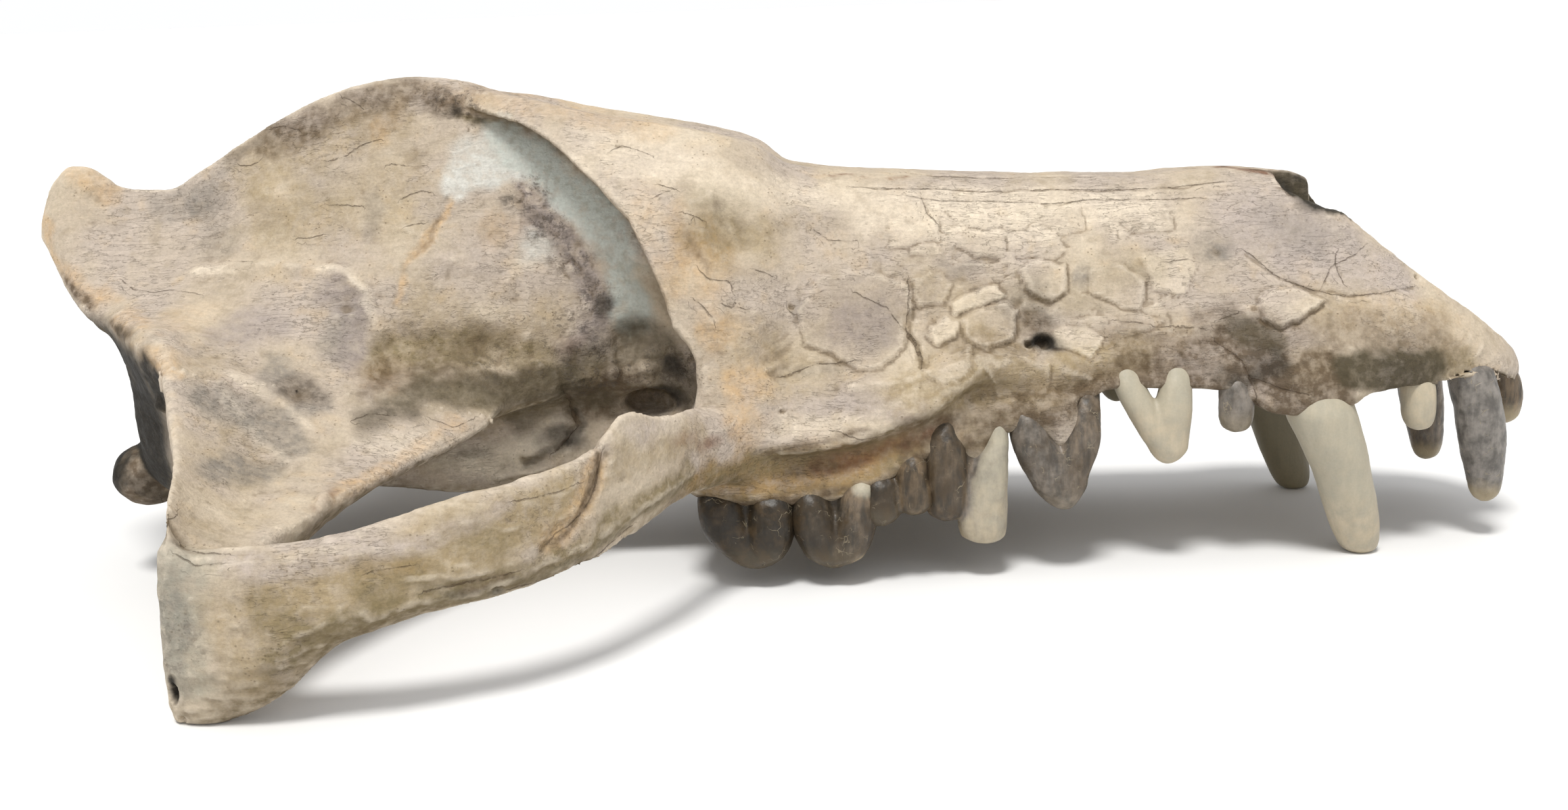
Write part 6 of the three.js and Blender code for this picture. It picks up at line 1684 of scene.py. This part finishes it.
# ------------------------------------------------------------------ the bone
bone = bone_material()
grid = Grid([-437, 0, -97], [435, 290, 200], STEP, True)
points, quads = grid.mesh(bone_field(grid))
points = relax(points, quads)
tris = triangles_of(points, quads)
normals = vertex_normals(points, tris)
points = broken_nose(points + normals * relief(points, normals)[:, None])
points, tris = thinned(points, tris, 2 * BONE_TRIANGLES)
normals = vertex_normals(points, tris)

# parted as the CAD is parted
(x0, w0), (x1, w1) = ARCH_FRONT
front_slope = (w1 - w0) / (x1 - x0)
for side in (-1, 1):
    centre = points[tris].mean(1)
    points, tris, normals = split(points, tris, normals, [1, 0, 0], ARCH_BACK, centre[:, 1] * side > 228)
    centre = points[tris].mean(1)
    near = (centre[:, 1] * side > 88) & (centre[:, 0] > -115) & (centre[:, 0] < 12) & (centre[:, 2] < 60)
    points, tris, normals = split(points, tris, normals, [-front_slope, side, 0], w0 - front_slope * x0, near)
centre = points[tris].mean(1)
width = np.abs(centre[:, 1])
in_arch = ((centre[:, 0] > ARCH_BACK) & (width > w0 + (centre[:, 0] - x0) * front_slope)
           & (width > np.interp(centre[:, 0], [-232, -120], [236, 150])) & (width > 88) & (centre[:, 2] < 60))
right, left = tris[in_arch & (centre[:, 1] < 0)], tris[in_arch & (centre[:, 1] > 0)]
slope = FACE_CUT["slope"]
tris = tris[~in_arch]
points, tris, normals = split(points, tris, normals, [1, 0, -slope], FACE_CUT["x0"] - slope * FACE_CUT["z0"],
                              np.ones(len(tris), bool))
centre = points[tris].mean(1)
in_face = centre[:, 0] > FACE_CUT["x0"] + slope * (centre[:, 2] - FACE_CUT["z0"])
every = np.concatenate([tris, right, left])
bone_masks = masks(points, normals, every)
for name, part, node in (("braincase_bone", tris[~in_face], "braincase"), ("face_bone", tris[in_face], "face"),
                         ("cheek_arch_bone_right", right, "cheek_arch_right"),
                         ("cheek_arch_bone_left", left, "cheek_arch_left")):
    used = np.unique(part)
    p, t, n = capped(points, part, normals)
    piece(name, p, t, n, bone, [node], {k: v[used] for k, v in bone_masks.items()})

# ------------------------------------------------------------------ the teeth
tooth = tooth_material()
parts = [tooth_part(lobes, TOOTH_TONES[name], TOOTH_STEP, 1.0 if TOOTH_TONES[name][0][0] > 0.3 else 0.45, 50 + i)
         for i, (name, lobes) in enumerate(TEETH.items())]
p, t, tone, grey, tip = joined(parts)
canine = tooth_part([CANINE], [(0.0, 0.3)], TOOTH_STEP, 0.4, 80)


def tooth_pieces(name, part, node_right, node_left):
    p, t, tone, grey, tip = part
    piece(name + "_right", p, t, vertex_normals(p, t)[t.ravel()], tooth, [node_right],
          {"tone": tone, "greyness": grey, "tip": tip, "far": np.zeros(len(p))})
    # the left teeth are on the far side: far = 1 gives them painted shade
    q = p * np.array([1, -1, 1])
    u = t[:, ::-1]
    piece(name + "_left", q, u, vertex_normals(q, u)[u.ravel()], tooth, [node_left],
          {"tone": tone, "greyness": grey * 0.4, "tip": tip, "far": np.ones(len(p))})


tooth_pieces("teeth", (p, t, tone, grey, tip), "face", "face")
tooth_pieces("canine_tooth", canine, "canine_right", "canine_left")

# ------------------------------------------------------------------ stage
floor = bpy.data.objects.new("floor", plain_mesh("floor", [[-60, -60, 0], [60, -60, 0], [60, 60, 0], [-60, 60, 0]], [[0, 1, 2, 3]]))
bpy.context.scene.collection.objects.link(floor)
floor_look = bpy.data.materials.new("floor")
floor_look.use_nodes = True
floor_look.node_tree.nodes["Principled BSDF"].inputs["Base Color"].default_value = (0.86, 0.86, 0.86, 1)
floor_look.node_tree.nodes["Principled BSDF"].inputs["Roughness"].default_value = 0.9
floor_look.node_tree.nodes["Principled BSDF"].inputs["Specular IOR Level"].default_value = 0.1
floor.data.materials.append(floor_look)


def area_light(name, place, size, power, colour=(1, 1, 1)):
    data = bpy.data.lights.new(name, "AREA")
    data.shape, data.size, data.energy, data.color = "DISK", size, power, colour
    ob = bpy.data.objects.new(name, data)
    ob.location = place
    ob.rotation_euler = (Vector((0, 0, 0.12)) - Vector(place)).to_track_quat("-Z", "Y").to_euler()
    bpy.context.scene.collection.objects.link(ob)


area_light("fill", (0.9, -1.9, 1.3), 1.6, 3, (1, 0.98, 0.95))
sun_data = bpy.data.lights.new("high_window", "SUN")
sun_data.energy, sun_data.angle, sun_data.color = 2.35, math.radians(15), (1, 0.985, 0.955)
sun = bpy.data.objects.new("high_window", sun_data)
sun.rotation_euler = Vector((0.10, 0.36, -1.0)).to_track_quat("-Z", "Y").to_euler()
bpy.context.scene.collection.objects.link(sun)
# the sky of the studio: pale all round the horizon, softer above it, brightest overhead
world = bpy.data.worlds.new("studio")
world.use_nodes = True
sky = world.node_tree
way = sky.nodes.new("ShaderNodeTexCoord")
parts = sky.nodes.new("ShaderNodeSeparateXYZ")
ramp = sky.nodes.new("ShaderNodeValToRGB")
sky.links.new(way.outputs["Generated"], parts.inputs[0])
sky.links.new(parts.outputs["Z"], ramp.inputs["Fac"])
for place, level in ((0.0, 1.0), (0.2, 1.0), (0.32, 0.33), (0.5, 0.4), (1.0, 0.8)):
    stop = ramp.color_ramp.elements[0] if place == 0.0 else ramp.color_ramp.elements.new(place)
    stop.position, stop.color = place, (level * 0.995, level, level * 1.005, 1)
last = ramp.color_ramp.elements[len(ramp.color_ramp.elements) - 1]
last.position, last.color = 1.0, (0.78, 0.80, 0.82, 1)
sky.links.new(ramp.outputs["Color"], sky.nodes["Background"].inputs["Color"])
sky.nodes["Background"].inputs["Strength"].default_value = 1.0
bpy.context.scene.world = world
bpy.context.scene.view_settings.view_transform = "Standard"

# ------------------------------------------------------------------ camera
camera_data = bpy.data.cameras.new("camera")
camera_data.sensor_width = 36
camera_data.lens = 40.39
camera_data.clip_start, camera_data.clip_end = 0.01, 200
camera = bpy.data.objects.new("camera", camera_data)
bpy.context.scene.collection.objects.link(camera)
elevation, distance = math.radians(13), 1050.0
eye = to_rest(np.array([[0, -distance * math.cos(elevation), distance * math.sin(elevation)]]))[0]
aim = to_rest(np.zeros((1, 3)))[0]
back = Vector(eye - aim).normalized()
across = Vector(to_rest_direction(np.array([[0.0, 0.0, 1.0]]))[0]).cross(back).normalized()
place = Matrix((across, back.cross(across), back)).transposed().to_4x4()
place.translation = Vector(eye)
camera.matrix_world = place
bpy.context.scene.camera = camera
